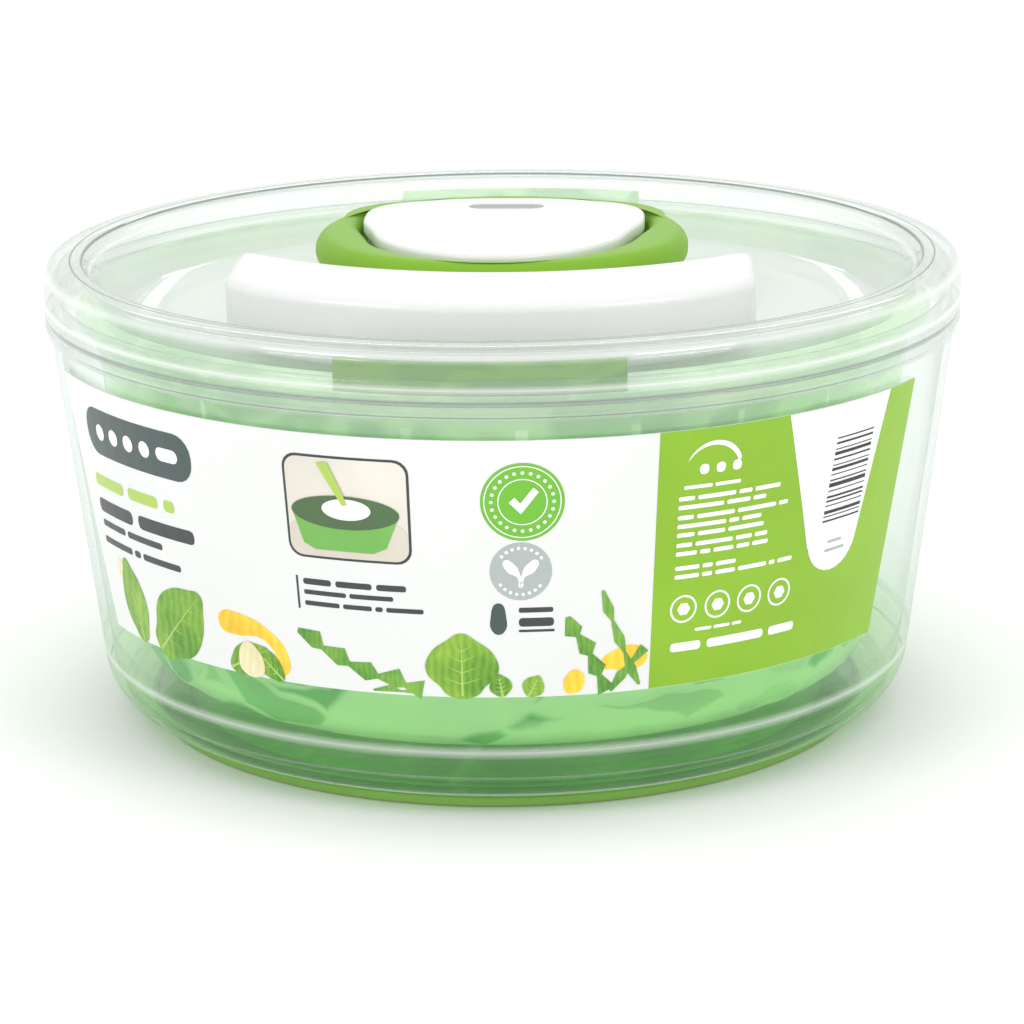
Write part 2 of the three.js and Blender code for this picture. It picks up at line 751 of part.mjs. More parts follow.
/** Sloped teeth that a pawl can push one way only. */
function ratchetWheel() {
  const pitch = (2 * Math.PI) / ratchetTeeth;
  const points = [];
  for (let tooth = 0; tooth < ratchetTeeth; tooth += 1) {
    for (const [step, radius] of [[0, ratchetRadius - toothDepth], [0.06, ratchetRadius], [0.5, ratchetRadius - toothDepth / 2]]) {
      const angle = (tooth + step) * pitch;
      points.push(new THREE.Vector2(radius * Math.cos(angle), radius * Math.sin(angle)));
    }
  }
  const bottom = webBottom - GAP - ratchetThickness;
  return raised(new THREE.Shape(points), bottom, webBottom - GAP).subtract(
    ring(0, spigotRadius + 1.2 * GAP, bottom - 1, webBottom + 1, 6),
  );
}

add('drive_disc', driveDisc(), LEAF, greenClear);
add('ratchet_wheel', ratchetWheel(), NATURAL);

// ---- Reel ---------------------------------------------------------------------------------------------------

function cordReel() {
  const upper = reelTop - flangeThickness;
  let shape = turned([
    [axleRadius + GAP, webBottom],
    [skirtOuter - skirtWall, webBottom],
    [skirtOuter - skirtWall, skirtFoot],
    [skirtOuter, skirtFoot],
    [skirtOuter, webBottom],
    [reelRadius, webBottom],
    [reelRadius, webTop],
    [drumRadius, webTop],
    [drumRadius, upper],
    [reelRadius, upper],
    [reelRadius, reelTop],
    [drumRadius - drumWall, reelTop],
    [drumRadius - drumWall, webTop],
    [axleRadius + GAP, webTop],
  ], 40);
  for (let i = 0; i < pawlCount; i += 1) {
    const pin = ring(0, pawlPinRadius, pawlBottom, webBottom + 0.5, 12).translate([pawlPivot, 0, 0]);
    shape = shape.add(pin.rotate([0, 0, (i * 360) / pawlCount]));
  }
  return shape;
}

/** A flat strip wound in a spiral from the arbor to the drum. */
function recoilSpring() {
  const inner = axleRadius + GAP + arborWall + 2 * GAP + springStrip;
  const outer = drumRadius - drumWall - 2 * GAP - springStrip;
  const steps = springTurns * 12;
  const side = (shift) =>
    Array.from({ length: steps + 1 }, (_, i) => {
      const angle = (i / steps) * springTurns * 2 * Math.PI;
      const radius = inner + ((outer - inner) * i) / steps + shift;
      return new THREE.Vector2(radius * Math.cos(angle), radius * Math.sin(angle));
    });
  const outline = new THREE.Shape([...side(springStrip / 2), ...side(-springStrip / 2).reverse()]);
  return raised(outline, windingBottom, reelTop - 2 * GAP);
}

/** A pawl on its pin, with its tip drawn back from the ratchet's teeth. */
function pawl() {
  const top = pawlBottom + pawlThickness;
  const eye = ring(0, pawlEye, pawlBottom, top, 16);
  const tip = ring(0, 1, pawlBottom, top, 12).translate([pawlArm, 0, 0]);
  const arm = raised(
    new THREE.Shape([[0, -2], [pawlArm, -1], [pawlArm, 1], [0, 2]].map(([x, y]) => new THREE.Vector2(x, y))),
    pawlBottom, top,
  );
  const shape = eye.add(arm).add(tip).subtract(hole(0, 0, pawlPinRadius + GAP, pawlBottom - 1, top + 1));
  return shape.rotate([0, 0, pawlAngle]).translate([pawlPivot, 0, 0]);
}

add('cord_reel', cordReel(), NATURAL);
add('recoil_spring', recoilSpring(), STEEL, steel);
add('cord_winding', ring(windingInner, windingOuter, windingBottom, windingTop, 32), WHITE, { roughness: 0.8 });
for (let i = 0; i < pawlCount; i += 1) add(`pawl_${i + 1}`, pawl().rotate([0, 0, (i * 360) / pawlCount]), GREY);

// ---- Pull ring ----------------------------------------------------------------------------------------------

function pullRing() {
  return ring(0, ringRadius, ringBottom, ringTop, ROUND)
    .subtract(raised(capOutline(ringClearance), ringBottom - 1, ringTop + 1))
    .subtract(hole(0, cordY, knotPocketRadius, ringBottom - 1, ringBottom + knotPocketDepth));
}

/** The cord's end, knotted in a pocket in the ring's underside. */
function cordKnot() {
  const middle = ringBottom + knotPocketDepth - knotRadius - 2 * GAP;
  return turned([
    [0, ringBottom],
    [cordRadius, ringBottom],
    ...arc(0, middle, knotRadius, -60, 60, 4),
    [0, middle + knotRadius],
  ], 16).translate([0, cordY, 0]);
}

add('pull_ring', pullRing(), GREEN);
add('cord_knot', cordKnot(), WHITE, { roughness: 0.8 });

// ---- Brake --------------------------------------------------------------------------------------------------

function brakeBar() {
  const ceiling = brakeTop - brakeWall;
  const sleeveBottom = recessFloor + GAP + springHeight + GAP;
  const postBottom = padTop + GAP;
  let shape = raised(crescent(0), brakeBottom, brakeTop).subtract(raised(crescent(brakeWall), brakeBottom - 1, ceiling));
  for (const x of Object.values(postPlaces)) {
    const sleeve = ring(0, postSleeve, sleeveBottom, ceiling + 1).translate([x, postY, 0]);
    const post = hole(x, postY, postRadius, postBottom, ceiling);
    shape = shape.add(sleeve).add(post).subtract(hole(x, postY, padStem + GAP, postBottom - 1, postBottom + padStemHeight));
  }
  return shape;
}

/** A rubber pad whose stem pushes into the end of a brake post. */
function brakePad(x) {
  const stemTop = padTop + padStemHeight;
  return turned([
    [0, padBottom],
    [padRadius, padBottom],
    [padRadius, padTop],
    [padStem, padTop],
    [padStem, stemTop],
    [0, stemTop],
  ], SMALL_ROUND).translate([x, postY, 0]);
}

add('brake_bar', brakeBar(), WHITE);
for (const [side, x] of Object.entries(postPlaces)) add(`brake_pad_${side}`, brakePad(x), '#4a4d4f', { roughness: 0.9 });

export default group;
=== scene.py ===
import json
import math

import bpy
from mathutils import Matrix, Vector


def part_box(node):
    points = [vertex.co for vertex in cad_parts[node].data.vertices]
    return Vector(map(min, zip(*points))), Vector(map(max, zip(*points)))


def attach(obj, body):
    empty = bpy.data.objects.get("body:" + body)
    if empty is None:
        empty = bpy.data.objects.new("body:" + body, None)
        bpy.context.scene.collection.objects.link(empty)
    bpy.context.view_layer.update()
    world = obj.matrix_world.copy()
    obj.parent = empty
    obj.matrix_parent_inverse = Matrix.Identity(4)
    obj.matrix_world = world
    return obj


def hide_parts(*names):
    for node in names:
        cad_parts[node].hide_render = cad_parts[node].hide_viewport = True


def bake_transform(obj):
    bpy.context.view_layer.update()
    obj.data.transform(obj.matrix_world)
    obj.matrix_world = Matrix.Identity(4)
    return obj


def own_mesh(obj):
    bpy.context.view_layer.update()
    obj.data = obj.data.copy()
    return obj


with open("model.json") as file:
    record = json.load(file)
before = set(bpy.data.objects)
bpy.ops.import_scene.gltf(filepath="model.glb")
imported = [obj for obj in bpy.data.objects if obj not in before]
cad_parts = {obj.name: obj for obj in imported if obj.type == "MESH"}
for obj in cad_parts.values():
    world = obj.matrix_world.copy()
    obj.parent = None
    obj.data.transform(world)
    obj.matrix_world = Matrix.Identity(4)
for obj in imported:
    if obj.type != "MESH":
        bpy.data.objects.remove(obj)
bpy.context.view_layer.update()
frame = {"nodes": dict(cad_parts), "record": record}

nodes = frame["nodes"]
MM = 0.001

# ---- Studio --------------------------------------------------
# A white sweep under an even white sky, with three soft boxes whose reflections draw the edges. The
# camera is a long lens a metre away, a little above the lid.

scene = bpy.context.scene
scene.view_settings.view_transform = "Standard"
scene.cycles.transparent_max_bounces = 40
scene.cycles.max_bounces = 8
scene.cycles.glossy_bounces = 4
scene.cycles.caustics_refractive = False
scene.cycles.caustics_reflective = False


def deselect():
    """Leaves nothing selected, which every primitive needs first."""
    bpy.ops.object.select_all(action="DESELECT")


def pick(piece):
    """Selects one piece alone and makes it active."""
    deselect()
    piece.select_set(True)
    bpy.context.view_layer.objects.active = piece


def apply_place(piece):
    """Puts a piece's place and turn into its mesh."""
    pick(piece)
    bpy.ops.object.transform_apply(location=True, rotation=True, scale=True)


deselect()
bpy.ops.mesh.primitive_circle_add(vertices=96, radius=6, fill_type="NGON", location=(0, 0, -0.0002))
floor = bpy.context.object
floor.name = "studio_floor"
apply_place(floor)

floor_paint = bpy.data.materials.new("studio_white")
floor_paint.use_nodes = True
floor_shader = floor_paint.node_tree.nodes["Principled BSDF"]
floor_shader.inputs["Roughness"].default_value = 0.9
floor_place = floor_paint.node_tree.nodes.new("ShaderNodeTexCoord")
floor_reach = floor_paint.node_tree.nodes.new("ShaderNodeVectorMath")
floor_reach.operation = "LENGTH"
# A soft contact shadow is painted round the bowl's foot: the floor's colour darkens towards the middle, a
# little pink to offset the green bounce light.
floor_painted_shadow = floor_paint.node_tree.nodes.new("ShaderNodeValToRGB")
floor_painted_shadow.color_ramp.interpolation = "EASE"
floor_painted_shadow.color_ramp.elements[0].position = 0.088
floor_painted_shadow.color_ramp.elements[0].color = (0.86, 0.835, 0.86, 1)
floor_painted_shadow.color_ramp.elements[1].position = 0.165
floor_painted_shadow.color_ramp.elements[1].color = (0.95, 0.95, 0.95, 1)
floor_paint.node_tree.links.new(floor_place.outputs["Object"], floor_reach.inputs[0])
floor_paint.node_tree.links.new(floor_reach.outputs["Value"], floor_painted_shadow.inputs["Fac"])
floor_paint.node_tree.links.new(floor_painted_shadow.outputs["Color"], floor_shader.inputs["Base Color"])
floor_shader.inputs["Specular IOR Level"].default_value = 0
floor_shader.inputs["Emission Color"].default_value = (1, 1, 1, 1)
floor_shader.inputs["Emission Strength"].default_value = 0.06
floor.data.materials.append(floor_paint)

sky = bpy.data.worlds.new("studio_sky")
sky.use_nodes = True
sky.node_tree.nodes["Background"].inputs["Color"].default_value = (1, 1, 1, 1)
sky.node_tree.nodes["Background"].inputs["Strength"].default_value = 1.0
scene.world = sky


def soft_box(name, place, aim, width, height, watts):
    """An area lamp turned towards a point."""
    deselect()
    turn = (Vector(aim) - Vector(place)).to_track_quat("-Z", "Y").to_euler()
    bpy.ops.object.light_add(type="AREA", location=place, rotation=turn)
    lamp = bpy.context.object
    lamp.name = name
    lamp.data.shape = "RECTANGLE"
    lamp.data.size = width
    lamp.data.size_y = height
    lamp.data.energy = watts


middle = (0, 0, 0.07)
soft_box("soft_box_left", (-0.75, -0.75, 0.75), middle, 0.5, 0.14, 2.4)
soft_box("soft_box_right", (0.8, -0.7, 0.75), middle, 0.5, 0.14, 2.4)
soft_box("soft_box_back", (0.0, 0.9, 0.7), middle, 0.9, 0.12, 1.5)

camera_distance = 1.009
camera_azimuth = math.radians(3)
camera_elevation = math.radians(15)
camera_roll = math.radians(0.61)
look_from = Vector((
    math.sin(camera_azimuth) * math.cos(camera_elevation),
    -math.cos(camera_azimuth) * math.cos(camera_elevation),
    math.sin(camera_elevation),
)) * camera_distance + Vector((0, 0, 0.066))
look_at = Vector((0.0022, -0.0033, 0.0534))
deselect()
bpy.ops.object.camera_add(location=look_from)
camera = bpy.context.object
facing = (look_at - look_from).to_track_quat("-Z", "Y").to_matrix().to_4x4()
camera.matrix_world = Matrix.Translation(look_from) @ facing @ Matrix.Rotation(-camera_roll, 4, "Z")
camera.data.lens = 122.3
camera.data.sensor_width = 36
scene.camera = camera

# ---- Bowl ----------------------------------------------------
# A water-clear moulded bowl. Its wall leans out a little, its base turns up through a round corner, and a
# bead and an upright lip at the top carry the lid. A short pivot in the middle of the floor carries the
# basket.

rim_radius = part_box("bowl")[1][0] / MM
bowl_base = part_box("bowl")[0][2] / MM
bowl_wall = 2.4
bowl_lean = 0.1221
bead_bottom = 113.2
bead_top = 116.7
lip_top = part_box("bowl")[1][2] / MM
lip_outer = rim_radius - 2.8
lip_inner = lip_outer - 2.2
bowl_corner = 15
lean = math.degrees(math.atan(bowl_lean))


def bowl_radius(z):
    """The bowl's outer radius at a height, in millimetres."""
    return rim_radius - 1.3 - bowl_lean * (bead_bottom - z)


def arc(r, z, radius, start, end, steps=8):
    """Points on an arc of a profile, angles in degrees."""
    angles = [math.radians(start + (end - start) * i / steps) for i in range(steps + 1)]
    return [(r + radius * math.cos(a), z + radius * math.sin(a)) for a in angles]


def corner_centre(radius_at, floor_height, radius):
    """The middle of the arc that joins a floor to a leaning wall."""
    z = floor_height + radius
    tilt = math.radians(lean)
    return radius_at(z - radius * math.sin(tilt)) - radius * math.cos(tilt), z


def select_all_vertices():
    bpy.ops.mesh.select_all(action="SELECT")


def tidy_mesh(piece, smooth_angle=38):
    """Merges doubles, turns the faces outwards and smooths all but the sharp edges."""
    pick(piece)
    bpy.ops.object.mode_set(mode="EDIT")
    select_all_vertices()
    bpy.ops.mesh.remove_doubles(threshold=1e-6)
    bpy.ops.mesh.normals_make_consistent(inside=False)
    bpy.ops.object.mode_set(mode="OBJECT")
    bpy.ops.object.shade_smooth_by_angle(angle=math.radians(smooth_angle))


def turned(name, profile, around=180, centre=(0, 0)):
    """A solid turned round an upright axis. A circle is extruded and scaled from point to point of the
    profile, in millimetres, and closes on the axis or on its first point."""
    on_axis = profile[0][0] == 0
    points = profile[1:] if on_axis else profile
    radius, height = points[0]
    deselect()
    bpy.ops.mesh.primitive_circle_add(
        vertices=around, radius=radius * MM, fill_type="TRIFAN" if on_axis else "NOTHING",
        location=(centre[0] * MM, centre[1] * MM, height * MM))
    piece = bpy.context.object
    piece.name = name
    apply_place(piece)
    bpy.ops.object.mode_set(mode="EDIT")
    select_all_vertices()
    if on_axis:
        bpy.ops.mesh.region_to_loop()
    middle_line = (centre[0] * MM, centre[1] * MM, 0)
    stops = points[1:] if on_axis else points[1:] + points[:1]
    for next_radius, next_height in stops:
        if next_radius == 0:
            bpy.ops.mesh.extrude_region_move(
                TRANSFORM_OT_translate={"value": (0, 0, (next_height - height) * MM)})
            bpy.ops.mesh.merge(type="CENTER")
            break
        bpy.ops.mesh.extrude_region_move(
            TRANSFORM_OT_translate={"value": (0, 0, (next_height - height) * MM)})
        ratio = next_radius / radius
        bpy.ops.transform.resize(value=(ratio, ratio, 1), center_override=middle_line)
        radius, height = next_radius, next_height
    bpy.ops.object.mode_set(mode="OBJECT")
    tidy_mesh(piece)
    return piece


def new_material(name):
    """A material with an empty node tree, and the socket that takes its surface."""
    material = bpy.data.materials.new(name)
    material.use_nodes = True
    tree = material.node_tree
    tree.nodes.clear()
    return material, tree, tree.nodes.new("ShaderNodeOutputMaterial").inputs["Surface"]


def node(tree, kind, settings=None, **inputs):
    """A shader node. An input is named with _ for a space, or by its number as in _0, and takes a value
    or another node's output."""
    made = tree.nodes.new("ShaderNode" + kind)
    for key, value in (settings or {}).items():
        setattr(made, key, value)
    for key, value in inputs.items():
        socket = made.inputs[int(key[1:]) if key[1:].isdigit() else key.replace("_", " ")]
        if isinstance(value, bpy.types.NodeSocket):
            tree.links.new(value, socket)
        else:
            socket.default_value = value
    return made


def worked(tree, kind, operation, *terms, result=0, **settings):
    """The result of one Math or VectorMath node on values or outputs."""
    inputs = {f"_{i}": term for i, term in enumerate(terms)}
    return node(tree, kind, {"operation": operation, **settings}, **inputs).outputs[result]


def mapped(tree, value, start, end, first, last):
    """A value between start and end brought between first and last."""
    return node(tree, "MapRange", _0=value, _1=start, _2=end, _3=first, _4=last).outputs[0]


def ramp(tree, value, *stops):
    """A colour ramp from its stops, the first and the last of them first."""
    made = node(tree, "ValToRGB", Fac=value)
    for i, (position, color) in enumerate(stops):
        stop = made.color_ramp.elements[i] if i < 2 else made.color_ramp.elements.new(position)
        stop.position = position
        stop.color = (*color, 1)
    return made.outputs["Color"]


def two_colors(tree, share, first, second):
    """A mix of two colours."""
    return node(tree, "Mix", {"data_type": "RGBA"}, _0=share, _6=first, _7=second).outputs[2]


def two_shaders(tree, share, first, second):
    """A mix of two shader nodes."""
    return node(tree, "MixShader", _0=share, _1=first.outputs[0], _2=second.outputs[0])


def object_place(tree):
    """The place on the piece, and its height."""
    place = node(tree, "TexCoord").outputs["Object"]
    return place, node(tree, "SeparateXYZ", _0=place).outputs["Z"]


def moulded_skin_group():
    """The skin of moulded plastic: slow colour drift, uneven polish and a faint grain."""
    group = bpy.data.node_groups.new("moulded_skin", "ShaderNodeTree")
    for name, kind, value in (
        ("Color", "Color", (1, 1, 1, 1)), ("Drift", "Float", 0.04), ("Roughness", "Float", 0.3),
        ("Unevenness", "Float", 0.08), ("Grain", "Float", 900), ("Depth", "Float", 0.1),
    ):
        socket = group.interface.new_socket(name, in_out="INPUT", socket_type="NodeSocket" + kind)
        socket.default_value = value
    for name, kind in (("Color", "Color"), ("Roughness", "Float"), ("Normal", "Vector")):
        group.interface.new_socket(name, in_out="OUTPUT", socket_type="NodeSocket" + kind)
    given = group.nodes.new("NodeGroupInput").outputs
    result = group.nodes.new("NodeGroupOutput").inputs
    place = node(group, "TexCoord").outputs["Object"]
    clouds = node(group, "TexNoise", Vector=place, Scale=22, Detail=3).outputs["Fac"]
    grain = node(group, "TexNoise", Vector=place, Scale=given["Grain"], Detail=2).outputs["Fac"]
    darkest = worked(group, "Math", "SUBTRACT", 1, given["Drift"])
    shade = mapped(group, clouds, 0.3, 0.7, 1, darkest)
    tint = node(group, "VectorMath", {"operation": "SCALE"}, _0=given["Color"], Scale=shade).outputs[0]
    uneven = worked(group, "Math", "MULTIPLY_ADD", grain, given["Unevenness"], given["Roughness"])
    bump = node(group, "Bump", Strength=given["Depth"], Distance=0.0002, Height=grain).outputs[0]
    for name, value in (("Color", tint), ("Roughness", uneven), ("Normal", bump)):
        group.links.new(value, result[name])
    return group


moulded_skin = moulded_skin_group()


def moulded(name, color, roughness=0.3, drift=0.04, grain=900, depth=0.08, metallic=0.0, unevenness=0.08,
            specular=0.5):
    """An opaque moulded plastic, rubber or metal, with its skin from the shared group."""
    material, tree, surface = new_material(name)
    skin = node(tree, "Group", {"node_tree": moulded_skin}, Color=(*color, 1), Drift=drift,
                Roughness=roughness, Unevenness=unevenness, Grain=grain, Depth=depth).outputs
    shader = node(tree, "BsdfPrincipled", Base_Color=skin["Color"], Roughness=skin["Roughness"],
                  Normal=skin["Normal"], Metallic=metallic, Specular_IOR_Level=specular)
    tree.links.new(shader.outputs[0], surface)
    return material


def mirroring(tree, inner, normal, roughness, low, high):
    """A body under a clear surface, which mirrors a little face on and nearly all at a glance, alike on
    both its faces."""
    edge = node(tree, "LayerWeight", Blend=0.5, Normal=normal).outputs["Facing"]
    amount = mapped(tree, worked(tree, "Math", "POWER", edge, 5), 0, 1, low, high)
    gloss = node(tree, "BsdfGlossy", Color=(1, 1, 1, 1), Roughness=roughness, Normal=normal)
    return two_shaders(tree, amount, inner, gloss).outputs[0]


def circles_mask(tree, place, rise, circles):
    """One near some circles round the spin axis, each with its radius, height and reach in
    millimetres."""
    flat = worked(tree, "VectorMath", "MULTIPLY", place, (1, 1, 0))
    spread = worked(tree, "VectorMath", "LENGTH", flat, result=1)
    spot = node(tree, "CombineXYZ", X=spread, Z=rise).outputs[0]
    total = 0
    for radius, height, reach in circles:
        away = worked(tree, "VectorMath", "DISTANCE", spot, (radius * MM, 0, height * MM), result=1)
        total = worked(tree, "Math", "MAXIMUM", total, mapped(tree, away, 0, reach * MM, 1, 0))
    return total


def clear_plastic(name, haze_low, haze_high, painted_dark_lines, painted_highlight_bands, middle_haze=0.0, foot_ring_reflection=0.0):
    """Water-clear plastic: nearly nothing face on, a grey-green tint and a milky haze towards the edges.
    Where thick corners bend the view, thin dark lines and white highlight bands are painted into the tint
    and the haze at given circles round the piece."""
    material, tree, surface = new_material(name)
    place, rise = object_place(tree)
    ripple = node(tree, "TexNoise", Vector=place, Scale=18, Detail=1).outputs["Fac"]
    wave = node(tree, "Bump", Strength=0.12, Distance=0.001, Height=ripple).outputs[0]
    edge = node(tree, "LayerWeight", Blend=0.5).outputs["Facing"]
    # Painted shade and painted highlights: masks for dark lines and white bands at given circles round the
    # axis.
    lines = circles_mask(tree, place, rise, painted_dark_lines)
    bands = circles_mask(tree, place, rise, painted_highlight_bands)
    tint = ramp(tree, edge, (0.3, (0.98, 0.99, 0.984)), (1.0, (0.26, 0.32, 0.29)),
                (0.78, (0.93, 0.955, 0.94)), (0.93, (0.74, 0.80, 0.77)))
    lined = two_colors(tree, lines, tint, (0.30, 0.36, 0.33, 1))
    # The see-through tint is painted green near the foot: a painted reflection of the green foot ring.
    near_foot = mapped(tree, rise, 0.004, 0.024, foot_ring_reflection, 0)
    footed = two_colors(tree, near_foot, lined, (0.52, 0.86, 0.36, 1))
    through = node(tree, "BsdfTransparent", Color=footed)
    # The haze is painted white along the highlight bands and dark along the lines.
    painted_glint = two_colors(tree, bands, (0.83, 0.865, 0.84, 1), (1, 1, 1, 1))
    haze = node(tree, "BsdfDiffuse", Color=two_colors(tree, lines, painted_glint, (0.13, 0.16, 0.145, 1)))
    reach = worked(tree, "VectorMath", "LENGTH", place, result=1)
    middle = mapped(tree, reach, 0.160, 0.172, middle_haze, 0)
    veil = worked(tree, "Math", "ADD", middle, mapped(tree, edge, 0.35, 0.85, haze_low, haze_high))
    # The haze is thicker along the painted highlight bands and dark lines.
    for mask, weight in ((bands, 0.4), (lines, 0.55)):
        veil = worked(tree, "Math", "MULTIPLY_ADD", mask, weight, veil, use_clamp=True)
    body = two_shaders(tree, veil, through, haze)
    tree.links.new(mirroring(tree, body, wave, 0.03, 0.05, 0.7), surface)
    return material


# The bowl's painted dark lines and highlight bands sit at its bead, lip, upper wall and base corner.
clear = clear_plastic(
    "clear_plastic", 0.01, 0.09,
    painted_dark_lines=[(130, 116.4, 0.5), (129.2, 113.3, 0.5), (126, 121.9, 0.5), (102, 3.3, 0.7),
                (115.6, 12.5, 0.6)],
    painted_highlight_bands=[(110, 5.6, 2.4), (117.2, 20, 2.0), (123.5, 110.5, 1.6)],
    # Painted reflection of the green foot ring on the bowl's base.
    foot_ring_reflection=0.8)


def finish_piece(piece, body, slot, *materials, replaces=()):
    """Gives a piece its materials and its body, and hides the CAD nodes that it stands for. The slot is not
    used.
    """
    piece.data.materials.clear()
    for material in materials:
        piece.data.materials.append(material)
    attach(piece, body)
    if replaces:
        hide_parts(*replaces)


bowl_floor = bowl_base + bowl_wall
corner_r, corner_z = corner_centre(bowl_radius, bowl_base, bowl_corner)
bowl = turned("clear_bowl", [
    (0, bowl_base),
    *arc(corner_r, corner_z, bowl_corner, -90, -lean, 12),
    (bowl_radius(60), 60),
    (bowl_radius(bead_bottom - 1), bead_bottom - 1),
    *arc(rim_radius - 1.2, bead_bottom + 1.2, 1.2, -60, 0, 4),
    *arc(rim_radius - 0.8, bead_top - 0.8, 0.8, 0, 90, 4),
    (lip_outer + 0.3, bead_top),
    (lip_outer, bead_top + 0.3),
    *arc(lip_outer - 1.1, lip_top - 1.1, 1.1, 0, 180, 8),
    (lip_inner, bead_top - 2.2),
    (bowl_radius(bead_bottom) - bowl_wall, bead_bottom - 3.5),
    (bowl_radius(60) - bowl_wall, 60),
    *arc(corner_r, corner_z, bowl_corner - bowl_wall, -lean, -90, 10),
    (14, bowl_floor),
    (7, bowl_floor + 0.8),
    (4, bowl_floor + 2.5),
    *arc(2.5, bowl_floor + 11.8, 1.5, 0, 90, 4),
    (0, bowl_floor + 13.3),
])
finish_piece(bowl, "bowl", "clear_plastic", clear, replaces=["bowl"])

# ---- Foot ring -----------------------------------------------
# A flat ring of green rubber, pressed over the edge of the bowl's base so that the bowl doesn't slide.

green_rubber = moulded("green_rubber", (0.26, 0.47, 0.10), roughness=0.55, drift=0.1, grain=1400, depth=0.2)
foot_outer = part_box("foot_ring")[1][0] / MM
foot_inner = foot_outer - 11.5
foot_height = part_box("foot_ring")[1][2] / MM
foot_ring = turned("foot_ring_rubber", [
    *arc(foot_outer - 1, 1, 1, -90, 0, 5),
    *arc(foot_outer - 1, foot_height - 1, 1, 0, 90, 5),
    *arc(foot_inner + 0.6, foot_height - 0.6, 0.6, 90, 180, 4),
    *arc(foot_inner + 0.6, 0.6, 0.6, 180, 270, 4),
])
finish_piece(foot_ring, "bowl", "green_rubber", green_rubber, replaces=["foot_ring"])

# ---- Label ---------------------------------------------------
# A printed paper strip stuck round the front of the bowl, white with a green panel to the right. Its
# printing is plain bars, badges and salad leaves. Flat shapes are drawn in label millimetres and wrapped
# on the cone.

label_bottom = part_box("label_sleeve")[0][2] / MM
label_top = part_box("label_sleeve")[1][2] / MM
label_gap = 0.35
label_thickness = 0.35
wrap_radius = 124.5
print_step = 0.05


def wrap(piece, lift):
    """Lays a flat drawing, X along the label and Y up it, on the bowl at a lift off its wall."""
    for vertex in piece.data.vertices:
        along, height, out = (c / MM for c in vertex.co)
        angle = along / wrap_radius
        radius = bowl_radius(height) + lift + out
        vertex.co = Vector((radius * math.sin(angle), -radius * math.cos(angle), height)) * MM


def label_sheet():
    """The strip itself. Its ends lean in towards the bottom, because the bowl is a cone."""
    deselect()
    bpy.ops.mesh.primitive_grid_add(x_subdivisions=120, y_subdivisions=8, size=1)
    piece = bpy.context.object
    piece.name = "label_strip"
    left_top, right_top = -144.7, 135.2
    left_bottom, right_bottom = -132.0, 127.0
    for vertex in piece.data.vertices:
        up = vertex.co.y + 0.5
        across = vertex.co.x + 0.5
        left = left_bottom + (left_top - left_bottom) * up
        right = right_bottom + (right_top - right_bottom) * up
        height = label_bottom + (label_top - label_bottom) * up
        vertex.co = Vector((left + (right - left) * across, height, 0)) * MM
    wrap(piece, label_gap)
    solid = piece.modifiers.new("thickness", "SOLIDIFY")
    solid.thickness = label_thickness * MM
    solid.offset = 1
    pick(piece)
    bpy.ops.object.modifier_apply(modifier="thickness")
    tidy_mesh(piece)
    return piece


def printed_ink(name, color, drift=0.03, roughness=0.32):
    """A printing ink on glossy paper."""
    return moulded(name, color, roughness=roughness, drift=drift, grain=2500, depth=0.02, unevenness=0.05)


paper = printed_ink("label_paper", (0.80, 0.81, 0.80))
label = label_sheet()
finish_piece(label, "bowl", "label_film", paper, replaces=["label_sleeve"])

ink_dark = printed_ink("ink_slate", (0.055, 0.085, 0.08))
ink_text = printed_ink("ink_charcoal", (0.045, 0.05, 0.05))
ink_lime = printed_ink("ink_lime", (0.42, 0.60, 0.10))
ink_green = printed_ink("ink_green_panel", (0.27, 0.52, 0.015), drift=0.16)
ink_badge = printed_ink("ink_green_badge", (0.16, 0.50, 0.03), drift=0.06)
ink_grey = printed_ink("ink_grey_badge", (0.42, 0.47, 0.45))
ink_white = printed_ink("ink_white", (0.90, 0.91, 0.90))
ink_black = printed_ink("ink_black", (0.015, 0.015, 0.015))

prints = []


def from_curve(name, loops, smooth, closed=True, **settings):
    """A mesh from a curve through some points in millimetres, smooth ones with automatic bezier
    handles."""
    sketch = bpy.data.curves.new(name, "CURVE")
    for key, value in settings.items():
        setattr(sketch, key, value)
    for loop in loops:
        spline = sketch.splines.new("BEZIER" if smooth else "POLY")
        points = spline.bezier_points if smooth else spline.points
        points.add(len(loop) - 1)
        for point, place in zip(points, loop):
            spot = [c * MM for c in place] + [0] * (3 - len(place))
            if smooth:
                point.co = spot
                point.handle_left_type = point.handle_right_type = "AUTO"
            else:
                point.co = (*spot, 1)
        spline.use_cyclic_u = closed
    piece = bpy.data.objects.new(name, sketch)
    scene.collection.objects.link(piece)
    pick(piece)
    bpy.ops.object.convert(target="MESH")
    piece = bpy.context.object
    piece.name = name
    return piece


def drawn(outline, ink, layer=1, smooth=False, hole=None):
    """A flat printed shape from points in label millimetres."""
    loops = (outline, hole) if hole else (outline,)
    piece = from_curve("print", loops, smooth, dimensions="2D", fill_mode="BOTH", resolution_u=8)
    piece["layer"] = layer
    piece.data.materials.append(ink)
    prints.append(piece)


def rounded(left, bottom, width, height, radius, steps=5):
    """A rectangle's outline with round corners."""
    radius = min(radius, width / 2, height / 2)
    points = []
    for x, y, start in (
        (left + width - radius, bottom + radius, -90), (left + width - radius, bottom + height - radius, 0),
        (left + radius, bottom + height - radius, 90), (left + radius, bottom + radius, 180),
    ):
        points += arc(x, y, radius, start, start + 90, steps)
    return points


def disc(x, y, radius, steps=40):
    """A round outline."""
    return arc(x, y, radius, 0, 360 * (steps - 1) / steps, steps - 1)


def oval(x, y, half_width, half_height, steps):
    """An oval outline."""
    return [(x + half_width * u, y + half_height * v) for u, v in disc(0, 0, 1, steps)]


